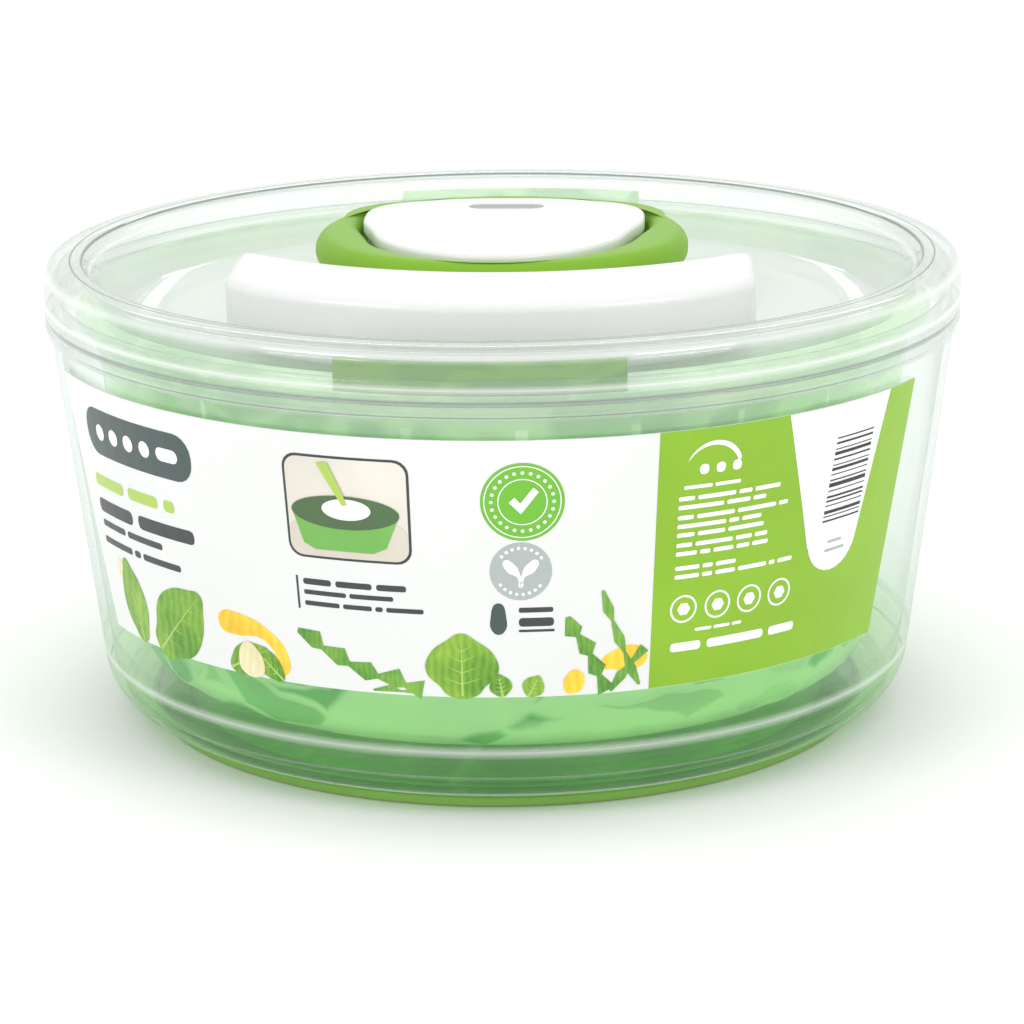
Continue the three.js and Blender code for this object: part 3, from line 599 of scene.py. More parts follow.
def words(ink, layer, *rows):
    """Plain bars that stand for print. A row is its left end, its height, its bars' thickness and
    lengths."""
    for x, height, size, *lengths in rows:
        for length in lengths:
            drawn(rounded(x, height - size / 2, length, size, size * 0.35, 2), ink, layer)
            x += length + size * 0.75


def dots(x, y, reach, degrees):
    """White dots on a circle."""
    for angle in map(math.radians, degrees):
        drawn(disc(x + reach * math.cos(angle), y + reach * math.sin(angle), 0.5, 8), ink_white, 2)


# The name block: a slate plate with a plain mark, and bars for the lines under it.
drawn(rounded(-130, 87.8, 49.5, 13.4, 6), ink_dark)
for place in range(4):
    drawn(disc(-121.5 + 7.5 * place, 94.5, 2.3, 20), ink_white, 2)
drawn(rounded(-94, 92.6, 8.5, 3.8, 1.9), ink_white, 2)
words(ink_lime, 1, (-130, 79.8, 3.4, 17, 14, 4.5))
words(ink_text, 1, (-130, 72.4, 4.0, 20, 24), (-129.5, 67.2, 1.9, 14, 17), (-130, 62.3, 1.9, 17, 3, 17))

# The framed picture: a green bowl under a dark lid with a white middle, on a pale table.
drawn(rounded(-51.2, 73.0, 33.8, 28.6, 4), ink_text)
wall_ink = printed_ink("ink_picture_wall", (0.80, 0.76, 0.68), drift=0.2)
table_ink = printed_ink("ink_picture_table", (0.72, 0.66, 0.56), drift=0.2)
bowl_ink = printed_ink("ink_picture_bowl", (0.20, 0.52, 0.10), drift=0.35)
lid_ink = printed_ink("ink_picture_lid", (0.08, 0.16, 0.06), drift=0.3)
drawn(rounded(-50.5, 73.7, 32.4, 27.2, 3.5), wall_ink, 2)
drawn(rounded(-50.5, 73.7, 32.4, 10, 3.5), table_ink, 3)
drawn([(-49.2, 85.8), (-46.6, 77.2), (-43.5, 75.6), (-27.5, 75.6), (-24.0, 77.2), (-20.4, 85.8)], bowl_ink, 4)
drawn(oval(-34.8, 86.3, 14.6, 4.6, 40), lid_ink, 5)
drawn(oval(-34.2, 87.2, 6.6, 2.9, 32), ink_white, 6)
drawn([(-41.5, 99.6), (-38.5, 99.9), (-35.2, 92.5), (-33.8, 88.6), (-35.2, 88.3), (-37.4, 92.2)], ink_lime, 7)
drawn([(-50.1, 58.3), (-49.5, 58.3), (-49.5, 67.6), (-50.1, 67.6)], ink_text)
words(ink_text, 1, (-48, 66.2, 1.7, 8, 10, 8), (-48, 63.2, 1.3, 12, 12), (-48, 60.1, 1.3, 10, 8, 2, 10))

# Badges: a green disc with a tick, a grey disc with two leaves, and a drop with bars.
drawn(disc(10.9, 90.7, 10.6, 64), ink_badge)
for outer, inner, steps in ((9.8, 9.5, 64), (6.3, 6.0, 48)):
    drawn(disc(10.9, 90.7, outer, steps), ink_white, 2, hole=disc(10.9, 90.7, inner, steps))
dots(10.9, 90.7, 7.9, range(0, 360, 15))
drawn([(7.4, 90.6), (8.9, 92.0), (10.3, 90.3), (13.6, 94.6), (15.0, 93.4), (10.5, 87.4)], ink_white, 3)
drawn(disc(10.4, 71.7, 8.0, 56), ink_grey)
half_leaf = [(0, -4.6), (0.9, -1.8), (3.6, 0.0), (4.3, 3.0), (1.6, 1.9), (0.3, -0.6)]
for side in (-1, 1):
    drawn([(10.4 + side * x, 71.7 + y) for x, y in half_leaf], ink_white, 2, smooth=True)
dots(10.4, 71.7, 6.4, [*range(35, 141, 15), *range(215, 321, 15)])
drop = [(4.5, 62.9), (6.6, 58.4), (6.2, 55.2), (4.5, 54.1), (2.8, 55.2), (2.4, 58.4)]
drawn(drop, ink_dark, 1, smooth=True)
words(ink_text, 1, (9.8, 60.9, 1.4, 9), (9.8, 57.5, 2.4, 9.2), (9.8, 55.1, 0.7, 9.4))

# The green panel with its print, and the white tab with a bar code turned on its side.
panel_bottom, panel_top = label_bottom + 0.05, label_top - 0.05
drawn([(45.4, panel_bottom), (127.0, panel_bottom), (135.2, panel_top), (45.4, panel_top)], ink_green)
drawn(arc(60.8, 95.5, 8.2, 20, 150, 14) + arc(60.2, 94.6, 7.9, 16, 152, 14)[::-1], ink_white, 2)
words(
    ink_white, 2, (56.6, 96.2, 2.8, 2.6, 2.6, 2.6), (52.5, 91.6, 1.0, 8, 7.5),
    (51.2, 88.6, 1.2, 4.5, 11, 4, 8), (51.2, 86.2, 1.2, 13, 7, 4), (51.2, 83.4, 1.2, 4.5, 11, 12, 3),
    (51.2, 81.0, 1.2, 14, 3, 6),
    (51.2, 78.6, 1.2, 5, 8, 11), (51.2, 75.8, 1.2, 4.5, 11, 5, 4), (51.2, 73.4, 1.2, 6, 3, 6, 4, 5),
    (51.2, 69.4, 1.2, 7, 3, 6), (51.2, 67.0, 1.2, 7, 3, 6, 9, 2, 5))
for x in (54.3, 64.4, 74.3, 84.3):
    drawn(disc(x, 57.9, 3.9, 32), ink_white, 2)
    drawn(disc(x, 57.9, 3.3, 32), ink_green, 3)
    drawn(disc(x, 57.9, 1.9, 6), ink_white, 4)
words(ink_white, 2, (58, 51.6, 0.9, 5, 5, 3), (51, 47.2, 2.5, 9, 18, 9))
tab_edge = label_top - 0.1
drawn([(82.6, tab_edge), (93.2, 68), *arc(103.0, 70.2, 9.8, 190, 350, 12), (121.6, tab_edge)], ink_white, 2)
code_bottom = 74.5
code_width = 15
bar_height = code_bottom
bars = (0.5, 0.3, 0.9, 0.3, 0.5, 0.6, 0.3, 1.1, 0.4, 0.3, 0.8, 0.3, 0.5, 0.9, 0.3, 0.6, 0.4)
for step, thickness in enumerate(bars):
    left = 98.0 + 0.11 * (bar_height - code_bottom)
    right = left + code_width
    bar_top = bar_height + thickness
    drawn([(left, bar_height), (right, bar_height), (right, bar_top), (left, bar_top)], ink_black, 3)
    bar_height = bar_top + (0.9, 0.6, 1.2)[step % 3]
words(ink_grey, 3, (101, 68.6, 0.8, 5.5), (100, 66.2, 0.8, 8))


def leaf_ink(name, light, dark, stretch=60):
    """A leaf's green, lighter and darker in blotches and fine veins."""
    material, tree, surface = new_material(name)
    place = node(tree, "TexCoord").outputs["Object"]
    blotches = node(tree, "TexNoise", Vector=place, Scale=stretch, Detail=4, Roughness=0.65).outputs["Fac"]
    veins = node(tree, "TexWave", Vector=place, Scale=stretch * 2.6, Distortion=5, Detail=2).outputs["Fac"]
    both = node(tree, "Mix", _0=0.1, _2=blotches, _3=veins).outputs[0]
    color = ramp(tree, both, (0.34, dark), (0.68, light))
    shader = node(tree, "BsdfPrincipled", Roughness=0.32, Base_Color=color)
    tree.links.new(shader.outputs[0], surface)
    return material


leaf_green = leaf_ink("ink_leaf", (0.30, 0.52, 0.05), (0.07, 0.26, 0.012))
leaf_vein = printed_ink("ink_vein", (0.42, 0.62, 0.14))
rocket_green = leaf_ink("ink_rocket", (0.22, 0.46, 0.06), (0.06, 0.24, 0.02), 90)
dressing = leaf_ink("ink_dressing", (0.95, 0.72, 0.06), (0.85, 0.42, 0.01), 45)
cream = leaf_ink("ink_garlic", (0.90, 0.86, 0.62), (0.75, 0.68, 0.38), 70)


def broad_leaf(x, y, length, width, degrees, layer=2):
    """A broad salad leaf, its stalk end at x, y, with a midrib and side veins."""
    tilt = math.radians(degrees)

    def placed(points):
        return [(x + u * math.cos(tilt) - v * math.sin(tilt), y + u * math.sin(tilt) + v * math.cos(tilt))
                for u, v in points]

    half = width / 2
    edge = [(0, 0.04 * half), (0.14, 0.62), (0.38, 1.0), (0.66, 0.88), (0.88, 0.42), (1, 0)]
    side = [(u * length, v * half) for u, v in edge]
    drawn(placed(side + [(u, -v) for u, v in reversed(side[:-1])]), leaf_green, layer, smooth=True)
    rib = [(0, -0.35), (0.93 * length, -0.06), (0.93 * length, 0.06), (0, 0.35)]
    drawn(placed(rib), leaf_vein, layer + 1)
    for start in (0.18, 0.36, 0.54, 0.7):
        for up in (-1, 1):
            reach = 0.62 * half * (1.25 - start)
            vein = [(start * length, 0), ((start + 0.13) * length, up * reach), (start * length + 0.35, 0)]
            drawn(placed(vein), leaf_vein, layer + 1)


def rocket_leaf(points, reach, layer=2):
    """A rocket leaf: lobes to both sides of a stalk that runs through these points."""
    upper, lower = [], []
    count = len(points)
    for i, (x, y) in enumerate(points):
        near = points[min(i + 1, count - 1)]
        far = points[max(i - 1, 0)]
        along = Vector((near[0] - far[0], near[1] - far[1])).normalized()
        out = Vector((-along.y, along.x)) * (reach if i % 2 else 0.25 * reach)
        lean_back = along * (0.5 * reach if i % 2 else 0)
        upper.append((x + out.x + lean_back.x, y + out.y + lean_back.y))
        lower.append((x - out.x + lean_back.x, y - out.y + lean_back.y))
    drawn(upper + lower[::-1], rocket_green, layer)


low = label_bottom + 0.1
broad_leaf(-113.2, low, 23.5, 12.5, 104)
broad_leaf(-104, low + 0.2, 28, 19, 44)
drawn([(-122.5, 58.6), (-120.7, 56.6), (-121.4, 53.4), (-123.2, 52.9), (-124.2, 55.4)], cream, 1, smooth=True)
drawn([(-77, 52.6), (-70, 53.8), (-60, 50.2), (-55, 44.6), (-55.5, 38.6), (-58.4, 38.4), (-58.6, 43.2),
       (-63, 47.6), (-71, 47.4), (-77, 48.6)], dressing, 1, smooth=True)
broad_leaf(-74.5, low + 1.2, 15, 9, 28, 3)
broad_leaf(-57.0, low + 0.2, 13, 7, 138, 3)
clove = [(-71.5, 40.2), (-68.4, 46.0), (-65.2, 44.8), (-62.8, 39.0), (-64.2, 36.8), (-70, 36.9)]
drawn(clove, cream, 5, smooth=True)
rocket_leaf([(-51, 52.0), (-47, 50.6), (-44, 47.8), (-40, 46.4), (-36.5, 44.0), (-32.5, 42.8), (-28.5, 41.2),
             (-24.5, 41.4), (-21, 39.2), (-17.5, 38.4)], 2.8)
rocket_leaf([(-30, 37.2), (-26, 38.0), (-22, 37.4), (-17, 37.6)], 0.9, 3)
broad_leaf(-5.4, low + 0.3, 17.6, 19.4, 90, 3)
broad_leaf(5.4, low + 0.1, 6.5, 6, 100, 3)
broad_leaf(12.2, low + 0.1, 6.5, 6, 62, 3)
rocket_leaf([(22.6, 58.6), (23.6, 55.6), (25.4, 53.2), (27.4, 50.6), (28.8, 47.6), (30.2, 44.6), (31.4, 41.6),
             (33, 38.2)], 2.6)
drawn([(22.4, 37.4), (22.8, 42.6), (25.8, 43.4), (27.4, 40.2), (25.6, 37.2)], dressing, 2, smooth=True)
puddle = [(31.6, 44.2), (36, 48.6), (42, 49.0), (44.6, 45.4), (40.4, 42.4), (35.2, 43.0)]
drawn(puddle, dressing, 1, smooth=True)
rocket_leaf([(31.8, 65.4), (33.2, 60.6), (34.6, 56.8), (36.4, 52.0), (38.2, 47.6), (39.8, 43.4),
             (42.6, 38.0)], 1.5, 3)
rocket_leaf([(34.5, 36.9), (37, 40.6), (39.6, 43.8), (43.2, 47.8)], 1.5, 4)


def wrap_prints():
    """Cuts each flat print into narrow strips, so that it can bend, and lays it on the label."""
    strip = 6.0
    for piece in prints:
        span = [v.co.x / MM for v in piece.data.vertices]
        pick(piece)
        if max(span) - min(span) > strip:
            bpy.ops.object.mode_set(mode="EDIT")
            cut = math.ceil(min(span) / strip) * strip
            while cut < max(span):
                select_all_vertices()
                bpy.ops.mesh.bisect(plane_co=(cut * MM, 0, 0), plane_no=(1, 0, 0))
                cut += strip
            bpy.ops.object.mode_set(mode="OBJECT")
        wrap(piece, label_gap + label_thickness + print_step * (piece["layer"] + 0.3))


def joined(pieces, name):
    """Several pieces made one object."""
    deselect()
    for piece in pieces:
        piece.select_set(True)
    bpy.context.view_layer.objects.active = pieces[0]
    bpy.ops.object.join()
    bpy.context.object.name = name
    return bpy.context.object


wrap_prints()
printing = joined(prints, "label_printing")
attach(printing, "bowl")

# ---- Basket --------------------------------------------------
# A see-through green basket, moulded in one piece. It has a rolled rim with two lift tabs, slots that let
# the water out, and pairs of ribs inside its wall that the drive disc's lugs push. It spins on a plain
# bush.


def green_clear_plastic(name, pale, deep, solidity, top_fade):
    """See-through green plastic moulded with overlapping leaves: each leaf has its own shade and a bright
    rim. A faint glow is painted in as light, and the colour pales towards the top."""
    material, tree, surface = new_material(name)
    place, rise = object_place(tree)
    warp = node(tree, "TexNoise", Vector=place, Scale=30, Detail=2).outputs["Color"]
    bent = worked(tree, "VectorMath", "MULTIPLY_ADD", warp, (0.045, 0.045, 0.03), place)
    squat = worked(tree, "VectorMath", "MULTIPLY", bent, (1, 1, 2.4))
    leaves = node(tree, "TexVoronoi", Vector=squat, Scale=34).outputs["Color"]
    rims = node(tree, "TexVoronoi", {"feature": "DISTANCE_TO_EDGE"}, Vector=squat, Scale=34)
    own_shade = node(tree, "SeparateColor", Color=leaves).outputs[0]
    rim = mapped(tree, rims.outputs["Distance"], 0, 0.16, 0.6, 0)
    relief = worked(tree, "Math", "MULTIPLY_ADD", own_shade, 0.8, rim)
    bump = node(tree, "Bump", Strength=0.35, Distance=0.0008, Height=relief).outputs[0]
    shade = ramp(tree, relief, (0.22, deep), (0.66, pale))
    # The colour pales towards the top of the basket.
    fade_up = mapped(tree, rise, 0.045, 0.108, 0, top_fade)
    paler = two_colors(tree, fade_up, shade, (0.95, 0.98, 0.92, 1))
    through = node(tree, "BsdfTransparent", Color=paler)
    body = node(tree, "BsdfDiffuse", Color=paler, Normal=bump)
    # A faint emission makes the plastic glow though it is no lamp: painted light that brightens its shaded
    # inside.
    inside = node(tree, "Emission", Color=paler, Strength=0.3)
    haze_and_painted_glow = node(tree, "AddShader", _0=body.outputs[0], _1=inside.outputs[0])
    inner = two_shaders(tree, solidity, through, haze_and_painted_glow)
    tree.links.new(mirroring(tree, inner, bump, 0.08, 0.04, 0.6), surface)
    return material


green_clear = green_clear_plastic("green_clear_plastic", (0.50, 0.86, 0.36), (0.06, 0.52, 0.03), 0.45, 0.7)
tab_green = green_clear_plastic("thick_green_clear_plastic", (0.12, 0.31, 0.012), (0.06, 0.24, 0.004), 0.9, 0)
basket_wall = 2
basket_under = 15.7
basket_floor = basket_under + basket_wall
socket_bottom = 11.7
socket_top = 22.7
bush_space = 7.2
basket_rim_bottom = 115.0
basket_rim_top = 117.5
basket_rim_outer = lip_inner - 3.5
upstand_inner = 117.3
upstand_top = 121.0
tab_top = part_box("basket")[1][2] / MM


def basket_radius(z):
    """The basket's outer radius at a height."""
    return bowl_radius(z) - bowl_wall - 10


def block(name, place, size, degrees=0):
    """A bevelled block at a place in millimetres, then turned round the spin axis."""
    deselect()
    bpy.ops.mesh.primitive_cube_add(size=1, location=[c * MM for c in place])
    piece = bpy.context.object
    piece.name = name
    piece.scale = [c * MM for c in size]
    apply_place(piece)
    soften = piece.modifiers.new("edges", "BEVEL")
    soften.width = 0.12 * min(size) * MM
    soften.segments = 2
    bpy.ops.object.modifier_apply(modifier="edges")
    piece.rotation_euler = (0, 0, math.radians(degrees))
    apply_place(piece)
    return piece


def cut_away(piece, cutter, operation="DIFFERENCE"):
    """Applies a boolean with a cutter and removes the cutter."""
    cut = piece.modifiers.new("cut", "BOOLEAN")
    cut.operation = operation
    cut.solver = "EXACT"
    cut.object = cutter
    pick(piece)
    bpy.ops.object.modifier_apply(modifier="cut")
    bpy.data.objects.remove(cutter, do_unlink=True)


basket_corner_r, basket_corner_z = corner_centre(basket_radius, basket_under, 8)
basket = turned("leaf_basket", [
    (0, socket_top - 1.9), (bush_space, socket_top - 1.9), (bush_space, socket_bottom), (10.5, socket_bottom),
    (10.5, basket_under - 0.5), (11, basket_under),
    *arc(basket_corner_r, basket_corner_z, 8, -90, -lean, 8),
    (basket_radius(60), 60),
    (basket_radius(basket_rim_bottom - 2), basket_rim_bottom - 2),
    (basket_radius(basket_rim_bottom) + 1, basket_rim_bottom),
    *arc(basket_rim_outer - 1.2, (basket_rim_bottom + basket_rim_top) / 2, 1.2, -90, 90, 6),
    (upstand_inner + 2.4, basket_rim_top),
    *arc(upstand_inner + 1, upstand_top - 1, 1, 0, 180, 6),
    (upstand_inner, basket_rim_top + 0.5),
    (basket_radius(basket_rim_bottom) - basket_wall, basket_rim_bottom - 1),
    (basket_radius(60) - basket_wall, 60),
    *arc(basket_corner_r, basket_corner_z, 6, -lean, -90, 7),
    (13, basket_floor), (10.5, socket_top - 1.2), (9, socket_top), (0, socket_top),
])
wall_slots = [
    block("slot", (basket_radius(61) - 1, 0, 61), (20, 4, 52), 10 + 20 * i) for i in range(18)
]
floor_slots = [block("slot", (52, 0, 17), (46, 5, 8), 20 + 40 * i) for i in range(9)]
cut_away(basket, joined(wall_slots + floor_slots, "slots"))
rib_radius = basket_radius(107) - basket_wall - 3.5
ribs = [
    block("rib", (rib_radius + 2, side * 6.5, 105), (4.6, 2, 13), 60 * i)
    for i in range(6) for side in (-1, 1)
]


def lift_tab(angle):
    """A curved tab on the rim that a finger hooks to lift the basket out."""
    tab = turned("tab", [
        (basket_rim_outer - 1.5, basket_rim_top - 0.5), (basket_rim_outer - 0.1, basket_rim_top - 0.5),
        *arc(basket_rim_outer - 0.8, tab_top - 0.7, 0.7, 0, 180, 6),
    ])
    reach = 2 * rim_radius
    half = math.radians(18)
    wedge = bpy.data.meshes.new("wedge")
    across, forward = reach * math.sin(half), -reach * math.cos(half)
    corners = [(0, 0), (-across, forward), (across, forward)]
    wedge.from_pydata([(x * MM, y * MM, z * MM) for z in (110, 130) for x, y in corners], [],
                      [(2, 1, 0), (3, 4, 5), (0, 1, 4, 3), (1, 2, 5, 4), (2, 0, 3, 5)])
    sector = bpy.data.objects.new("wedge", wedge)
    scene.collection.objects.link(sector)
    tidy_mesh(sector)
    cut_away(tab, sector, "INTERSECT")
    tab.rotation_euler = (0, 0, math.radians(angle))
    apply_place(tab)
    return tab


front_tab = lift_tab(0)
front_tab.data.materials.clear()
front_tab.data.materials.append(tab_green)
basket = joined([basket, lift_tab(180)] + ribs, "leaf_basket")
basket.data.materials.clear()
basket.data.materials.append(green_clear)
basket = joined([basket, front_tab], "leaf_basket")
tidy_mesh(basket)
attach(basket, "basket")
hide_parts("basket")

# ---- Lid -----------------------------------------------------
# The clear lid: an upright skirt round the bowl's lip, a rolled shoulder, a narrow crest, and a recess
# whose floor carries the drive housing and the brake bar.

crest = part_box("lid")[1][2] / MM
skirt_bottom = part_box("lid")[0][2] / MM
lid_wall = 2.2
recess_depth = 16.6
recess_floor = crest - recess_depth
lid_under = recess_floor - lid_wall
hub_hole = 16
crest_inner = rim_radius - 11.3
recess_radius = crest_inner - 0.645 * recess_depth
post_x = 45
post_y = (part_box("brake_pad_left")[0][1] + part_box("brake_pad_left")[1][1]) / 2 / MM
lid = turned("clear_lid", [
    *arc(rim_radius - 0.6, skirt_bottom + 0.6, 0.6, -90, 0, 4),
    *arc(rim_radius - 4.5, crest - 4.5, 4.5, 0, 90, 10),
    (crest_inner + 2.2, crest),
    *arc(crest_inner + 1.4, crest - 1.2, 1.2, 90, 145, 4),
    (recess_radius + 1.6, recess_floor + 2.1),
    *[(recess_radius + 1.6 - 2.2 * t, recess_floor + 2.1 * (1 - t) ** 2) for t in (0.3, 0.6, 1)],
    (hub_hole, recess_floor), (hub_hole, lid_under),
    (recess_radius + 0.2, lid_under),
    (recess_radius + 2.4, lid_under + 1.2),
    (crest_inner - 1.8, crest - lid_wall - 4.4),
    *arc(crest_inner + 2.0, crest - lid_wall - 1.8, 1.8, 150, 90, 4),
    (rim_radius - 6, crest - lid_wall),
    *arc(rim_radius - 6, crest - lid_wall - 3.5, 3.5, 80, 0, 7),
    (rim_radius - 2.5, skirt_bottom + 0.4), (rim_radius - 2.1, skirt_bottom),
])
post_holes = [
    turned("hole", [(0, 108), (4, 108), (4, 120), (0, 120)], 32, (side * post_x, post_y)) for side in (-1, 1)
]
cut_away(lid, joined(post_holes, "holes"))
# The lid's painted dark lines and highlight bands sit at its crest, shoulder, recess wall and skirt.
clear_lid = clear_plastic(
    "clear_lid_plastic", 0.05, 0.34,
    painted_dark_lines=[(119.2, crest - 0.4, 0.75), (122.4, crest, 0.45), (129.8, 117.1, 0.7)],
    painted_highlight_bands=[(129.2, crest - 2.4, 2.2), (117, crest - 3.5, 1.4), (130, 120.4, 1.4)],
    middle_haze=0.42)
finish_piece(lid, "lid", "clear_plastic", clear_lid, replaces=["lid"])

# ---- Drive housing and top cap -------------------------------
# White glossy mouldings. A round deck with a tower on it holds the reel, and a rounded-triangle cap with
# soft edges clips over the tower. A grey stadium lies in a pocket near the cap's rear edge.

white_plastic = moulded("white_plastic", (0.80, 0.805, 0.797), roughness=0.24, drift=0.015, depth=0.03,
                        unevenness=0.05)
grey_plastic = moulded("grey_plastic", (0.33, 0.35, 0.34), roughness=0.4, drift=0.06)
cap_bottom, cap_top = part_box("top_cap")[0][2] / MM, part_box("top_cap")[1][2] / MM
cap_waist = 37.5
cap_half = [
    (0.413 * cap_waist, -(cap_waist + 2)), (0.787 * cap_waist, -0.693 * cap_waist),
    (cap_waist, -0.08 * cap_waist), (cap_waist + 3, 0.347 * cap_waist), (cap_waist, 0.747 * cap_waist),
    (0.64 * cap_waist, cap_waist - 0.5),
]
cap_outline = [(0, -44), *cap_half, (0, 41), *[(-x, y) for x, y in reversed(cap_half)]]


def grown(outline, by):
    """An outline with each point moved outwards from the middle."""
    return [(x + by * x / math.hypot(x, y), y + by * y / math.hypot(x, y)) for x, y in outline]


def plate(name, loops, bottom, top, edge, smooth=True, steps=5):
    """A flat plate between two heights in millimetres with rounded edges, from one outline and its
    holes."""
    half_flat = ((top - bottom) / 2 - edge) * MM
    piece = from_curve(name, loops, smooth, dimensions="2D", fill_mode="BOTH", resolution_u=14,
                       extrude=half_flat, bevel_depth=edge * MM, bevel_resolution=steps, offset=-edge * MM)
    piece.location.z = (bottom + top) / 2 * MM
    apply_place(piece)
    tidy_mesh(piece, 50)
    return piece


def stadium(length, width, y, steps=10):
    """A stadium outline across X."""
    reach = (length - width) / 2
    return arc(reach, y, width / 2, -90, 90, steps) + arc(-reach, y, width / 2, 90, 270, steps)


slot_y = 27
cap = plate("cap_shell", [cap_outline], cap_bottom, cap_top, 1.4)
pocket = plate("pocket", [stadium(22, 7.6, slot_y)], cap_top - 1.6, cap_top + 3, 0.05, smooth=False, steps=1)
cut_away(cap, pocket)
cut_away(cap, plate("hollow", [grown(cap_outline, -2)], cap_bottom - 3, cap_top - 2.6, 0.3, steps=1))
tidy_mesh(cap, 40)
finish_piece(cap, "lid", "white_plastic", white_plastic, replaces=["top_cap"])
slot_outline = stadium(21.4, 7.0, slot_y)
slot = plate("cap_slot_insert", [slot_outline], cap_top - 1.3, cap_top - 0.35, 0.3, smooth=False)
finish_piece(slot, "lid", "grey_plastic", grey_plastic, replaces=["slot_insert"])

brake_outer = recess_radius - 7
brake_inner = 97
brake_centre = 36
brake_span = 71


def crescent(inset):
    """The brake bar's outline in millimetres, moved inwards by an inset."""
    outer, inner, end = brake_outer - inset, brake_inner + inset, brake_span - inset
    corner = 9 - min(inset, 7)
    turn = end - corner

    def outer_y(x):
        return -math.sqrt(outer ** 2 - x ** 2)

    def inner_y(x):
        return brake_centre - math.sqrt(inner ** 2 - x ** 2)

    def rounded_corner(start, control, finish, steps=7):
        spots = [i / steps for i in range(steps + 1)]
        return [tuple((1 - t) ** 2 * a + 2 * t * (1 - t) * b + t * t * c
                      for a, b, c in zip(start, control, finish)) for t in spots]

    width = min(corner, 0.42 * (inner_y(end) - outer_y(end)))
    front = [(x, outer_y(x)) for x in (turn * (i / 24 - 1) for i in range(48))]
    back = [(x, inner_y(x)) for x in (turn * (1 - i / 24) for i in range(48))]
    right = rounded_corner((turn, outer_y(turn)), (end, outer_y(end)), (end, outer_y(end) + width))
    right += rounded_corner((end, inner_y(end) - width), (end, inner_y(end)), (turn, inner_y(turn)))
    left = [(-x, y) for x, y in reversed(right)]
    return front + right + back[1:] + left[:-1]


deck_bottom, tower_top = (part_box("mechanism_housing")[i][2] / MM for i in (0, 1))
deck_top = deck_bottom + 3.2
deck_edge = 0.8
deck_reach = 70 - deck_edge
housing = turned("drive_housing", [
    (hub_hole, deck_bottom),
    *arc(deck_reach, deck_bottom + deck_edge, deck_edge, -90, 0, 3),
    *arc(deck_reach, deck_top - deck_edge, deck_edge, 0, 90, 4),
    (hub_hole, deck_top),
])
cut_away(housing, plate("clear", [crescent(-1)], deck_bottom - 2, deck_top + 2, 0.05, smooth=False, steps=1))
tower_walls = [grown(cap_outline, -1), grown(cap_outline, -4)]
tower = plate("tower", tower_walls, deck_bottom + 2.6, tower_top, 0.2, steps=2)
housing = joined([housing, tower], "drive_housing")
tidy_mesh(housing)
finish_piece(housing, "lid", "white_plastic", white_plastic, replaces=["mechanism_housing"])

# ---- Pull ring -----------------------------------------------
# A thick satin green ring that lies round the cap. Its hole has the cap's outline, and its edges are
# fully rounded for the fingers. The cord is knotted into its front.

green_plastic = moulded("green_plastic", (0.215, 0.45, 0.03), roughness=0.42, grain=1500, depth=0.1,
                        specular=0.2)
ring_low, ring_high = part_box("pull_ring")
ring_radius = ring_high[0] / MM
ring_bottom, ring_top = ring_low[2] / MM, ring_high[2] / MM
pull_ring = plate("pull_ring_grip", [disc(0, 0, ring_radius, 24), grown(cap_outline, 0.9)],
                  ring_bottom, ring_top, 5.0, steps=9)
finish_piece(pull_ring, "handle", "green_plastic", green_plastic, replaces=["pull_ring"])

# ---- Brake bar -----------------------------------------------
# A hollow white crescent with soft edges and a thin raised arch on top. Two posts under it pass through
# the lid and end in rubber pads, which rub on the drive disc when the bar is pressed. Springs round the
# posts lift it.

brake_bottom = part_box("brake_spring_left")[0][2] / MM + 2.7
post_bottom, brake_top = (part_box("brake_bar")[i][2] / MM for i in (0, 1))
post_radius = 3.5
sleeve_radius = 6.5
sleeve_bottom = 124
brake = plate("brake_bar_shell", [crescent(0)], brake_bottom, brake_top, 3.4, smooth=False, steps=8)
hollow = plate("hollow", [crescent(2.4)], brake_bottom - 3, brake_top - 2.4, 0.8, smooth=False, steps=2)
cut_away(brake, hollow)
posts = [
    turned("post", [
        (0, post_bottom), (post_radius, post_bottom), (post_radius, sleeve_bottom),
        (sleeve_radius, sleeve_bottom), (sleeve_radius, brake_top - 2), (0, brake_top - 2),
    ], 40, (side * post_x, post_y)) for side in (-1, 1)
]
thumb_line = arc(0, -93, 24, 52, 128, 24) + arc(0, -94.3, 24.4, 50, 130, 24)[::-1]
thumb_mark = plate("thumb_mark", [thumb_line], brake_top - 0.3, brake_top + 0.22, 0.12, smooth=False, steps=2)
brake = joined([brake, thumb_mark, *posts], "brake_bar_shell")
tidy_mesh(brake, 40)
finish_piece(brake, "brake", "white_plastic", white_plastic, replaces=["brake_bar"])

# ---- Brake springs -------------------------------------------
# Two short coil springs of bright wire round the bar's posts. They stand on the lid's floor.

steel = moulded("bright_steel", (0.62, 0.63, 0.65), roughness=0.22, drift=0.08, grain=1800, metallic=1.0)
wire_radius = 0.5
coil_radius = 5.2
coil_turns = 4.5
coil_steps = 130


def tube(name, route, radius, smooth, sides):
    """A round wire or cord through some points in millimetres."""
    piece = from_curve(name, [route], smooth, closed=False, dimensions="3D", bevel_depth=radius * MM,
                       bevel_resolution=sides, use_fill_caps=True)
    tidy_mesh(piece, 60)
    return piece


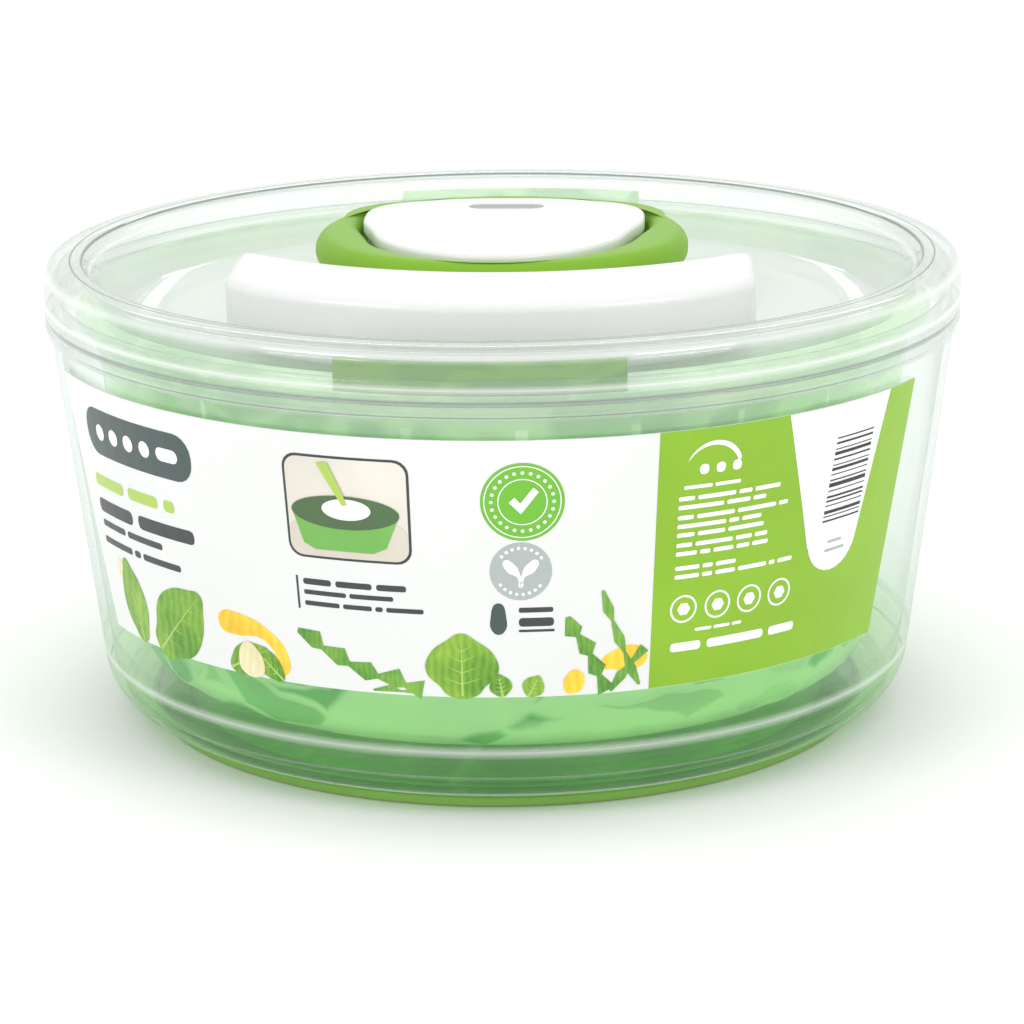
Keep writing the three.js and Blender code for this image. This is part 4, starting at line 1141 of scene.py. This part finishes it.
def coil(name, centre_x):
    """A coil spring of round wire, its ends closed against the floor and the sleeve."""
    low, high = (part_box(name)[i][2] / MM for i in (0, 1))
    lowest, highest = low + wire_radius + 0.05, high - wire_radius - 0.05
    route = []
    for i in range(coil_steps + 1):
        share = i / coil_steps
        angle = 2 * math.pi * coil_turns * share
        rise = min(max((share - 0.13) / 0.74, 0), 1)
        route.append((centre_x + coil_radius * math.cos(angle), post_y + coil_radius * math.sin(angle),
                      lowest + (highest - lowest) * rise))
    piece = tube(name + "_coil", route, wire_radius, False, 3)
    finish_piece(piece, "lid", "steel", steel, replaces=[name])
    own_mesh(piece)


coil("brake_spring_left", -post_x)
coil("brake_spring_right", post_x)

# ---- Drive disc ----------------------------------------------
# A thin green see-through disc under the lid. Six lugs round its edge stand between the basket's ribs,
# and its hub reaches up through the lid to the ratchet wheel.

disc_low, disc_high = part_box("drive_disc")
hub_bottom = disc_low[2] / MM
disc_top = lid_under - 5.3
disc_bottom = disc_top - 2.5
disc_radius = rib_radius - 1.8
bore = 3.3
spigot_foot = 117.3
spigot_top = 121.0
drive = turned("drive_plate", [
    (bore, hub_bottom), (9.4, hub_bottom), (10, hub_bottom + 0.5), (10, disc_bottom),
    *arc(disc_radius - 1, disc_bottom + 1, 1, -90, 0, 4),
    *arc(disc_radius - 1, disc_top - 1, 1, 0, 90, 4),
    (15, disc_top), (13.4, disc_top + 0.5), (13, disc_top + 1.5), (13, spigot_foot - 0.1), (8.5, spigot_foot),
    (bore, spigot_foot),
])
lugs = [block("lug", (disc_radius + 0.9, 0, disc_top - 1.25), (6.2, 8, 2.5), 60 * i) for i in range(6)]
spigot = turned("spigot", [(bore, spigot_foot - 0.5), (7.9, spigot_foot - 0.5), (7.9, spigot_top),
                           (bore, spigot_top)], 6)
drive = joined([drive, spigot] + lugs, "drive_plate")
tidy_mesh(drive)
finish_piece(drive, "drive", "green_clear_plastic", green_clear, replaces=["drive_disc"])

# ---- Cord ----------------------------------------------------
# A braided white cord. It leaves the reel, passes a guide in the front of the tower and turns up into the
# ring. The short upright stretch into the ring is a separate piece.

cord_y = -48.9
cord_radius = 0.85
guide_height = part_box("cord_guide")[0][2] / MM + 3.2


def braided_cord():
    """White braid: fine strands from a slanting wave."""
    material, tree, surface = new_material("white_cord")
    place = node(tree, "TexCoord").outputs["Object"]
    wave = node(tree, "TexWave", {"bands_direction": "DIAGONAL"}, Vector=place, Scale=620, Distortion=0.6)
    strands = wave.outputs["Fac"]
    bump = node(tree, "Bump", Strength=0.6, Distance=0.0003, Height=strands).outputs[0]
    # The colour is darker in the grooves between strands, where the bump is low: painted shade.
    color = ramp(tree, strands, (0, (0.62, 0.62, 0.58)), (1, (0.88, 0.88, 0.85)))
    shader = node(tree, "BsdfPrincipled", Roughness=0.8, Base_Color=color, Normal=bump)
    tree.links.new(shader.outputs[0], surface)
    return material


white_cord = braided_cord()


upright = guide_height + 2.6
lead = tube("cord_to_reel", [
    (-20.3, -15.7, 126), (-12, -25.5, 126), (-8.5, -29.7, 125.4), (-3, -36, 122.9), (0, -39.5, guide_height),
    (0, -42, guide_height), (0, -45.3, guide_height), (0, cord_y + 0.7, guide_height + 1.6),
    (0, cord_y, upright),
], cord_radius, True, 4)
finish_piece(lead, "lid", "white_cord", white_cord, replaces=["cord_lead"])
cord = tube("pull_cord", [(0, cord_y, z) for z in (upright - 0.3, upright + 0.2, ring_bottom + 2)],
            cord_radius, True, 4)
cord.data.materials.append(white_cord)
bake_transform(cord)

# ---- Works inside the housing --------------------------------
# Small turned and moulded parts that keep their own solids: the reel, its spring, the ratchet and pawls,
# the axle and its washer, the bush, the screws and the brake's pads.

natural_acetal = moulded("natural_acetal", (0.76, 0.74, 0.66), roughness=0.42, drift=0.05)
dark_rubber = moulded("dark_rubber", (0.03, 0.03, 0.03), roughness=0.7, drift=0.2, grain=1600, depth=0.3)
finishes = {
    "natural_acetal": natural_acetal, "steel": steel, "dark_rubber": dark_rubber, "label_film": paper,
    "grey_plastic": grey_plastic, "white_plastic": white_plastic, "green_plastic": green_plastic,
    "green_clear_plastic": green_clear, "clear_plastic": clear, "green_rubber": green_rubber,
    "white_cord": white_cord,
}
for part in frame["record"]["subparts"]:
    solid = nodes[part["node"]]
    solid.data.materials.clear()
    solid.data.materials.append(finishes[part["material_slot"]])
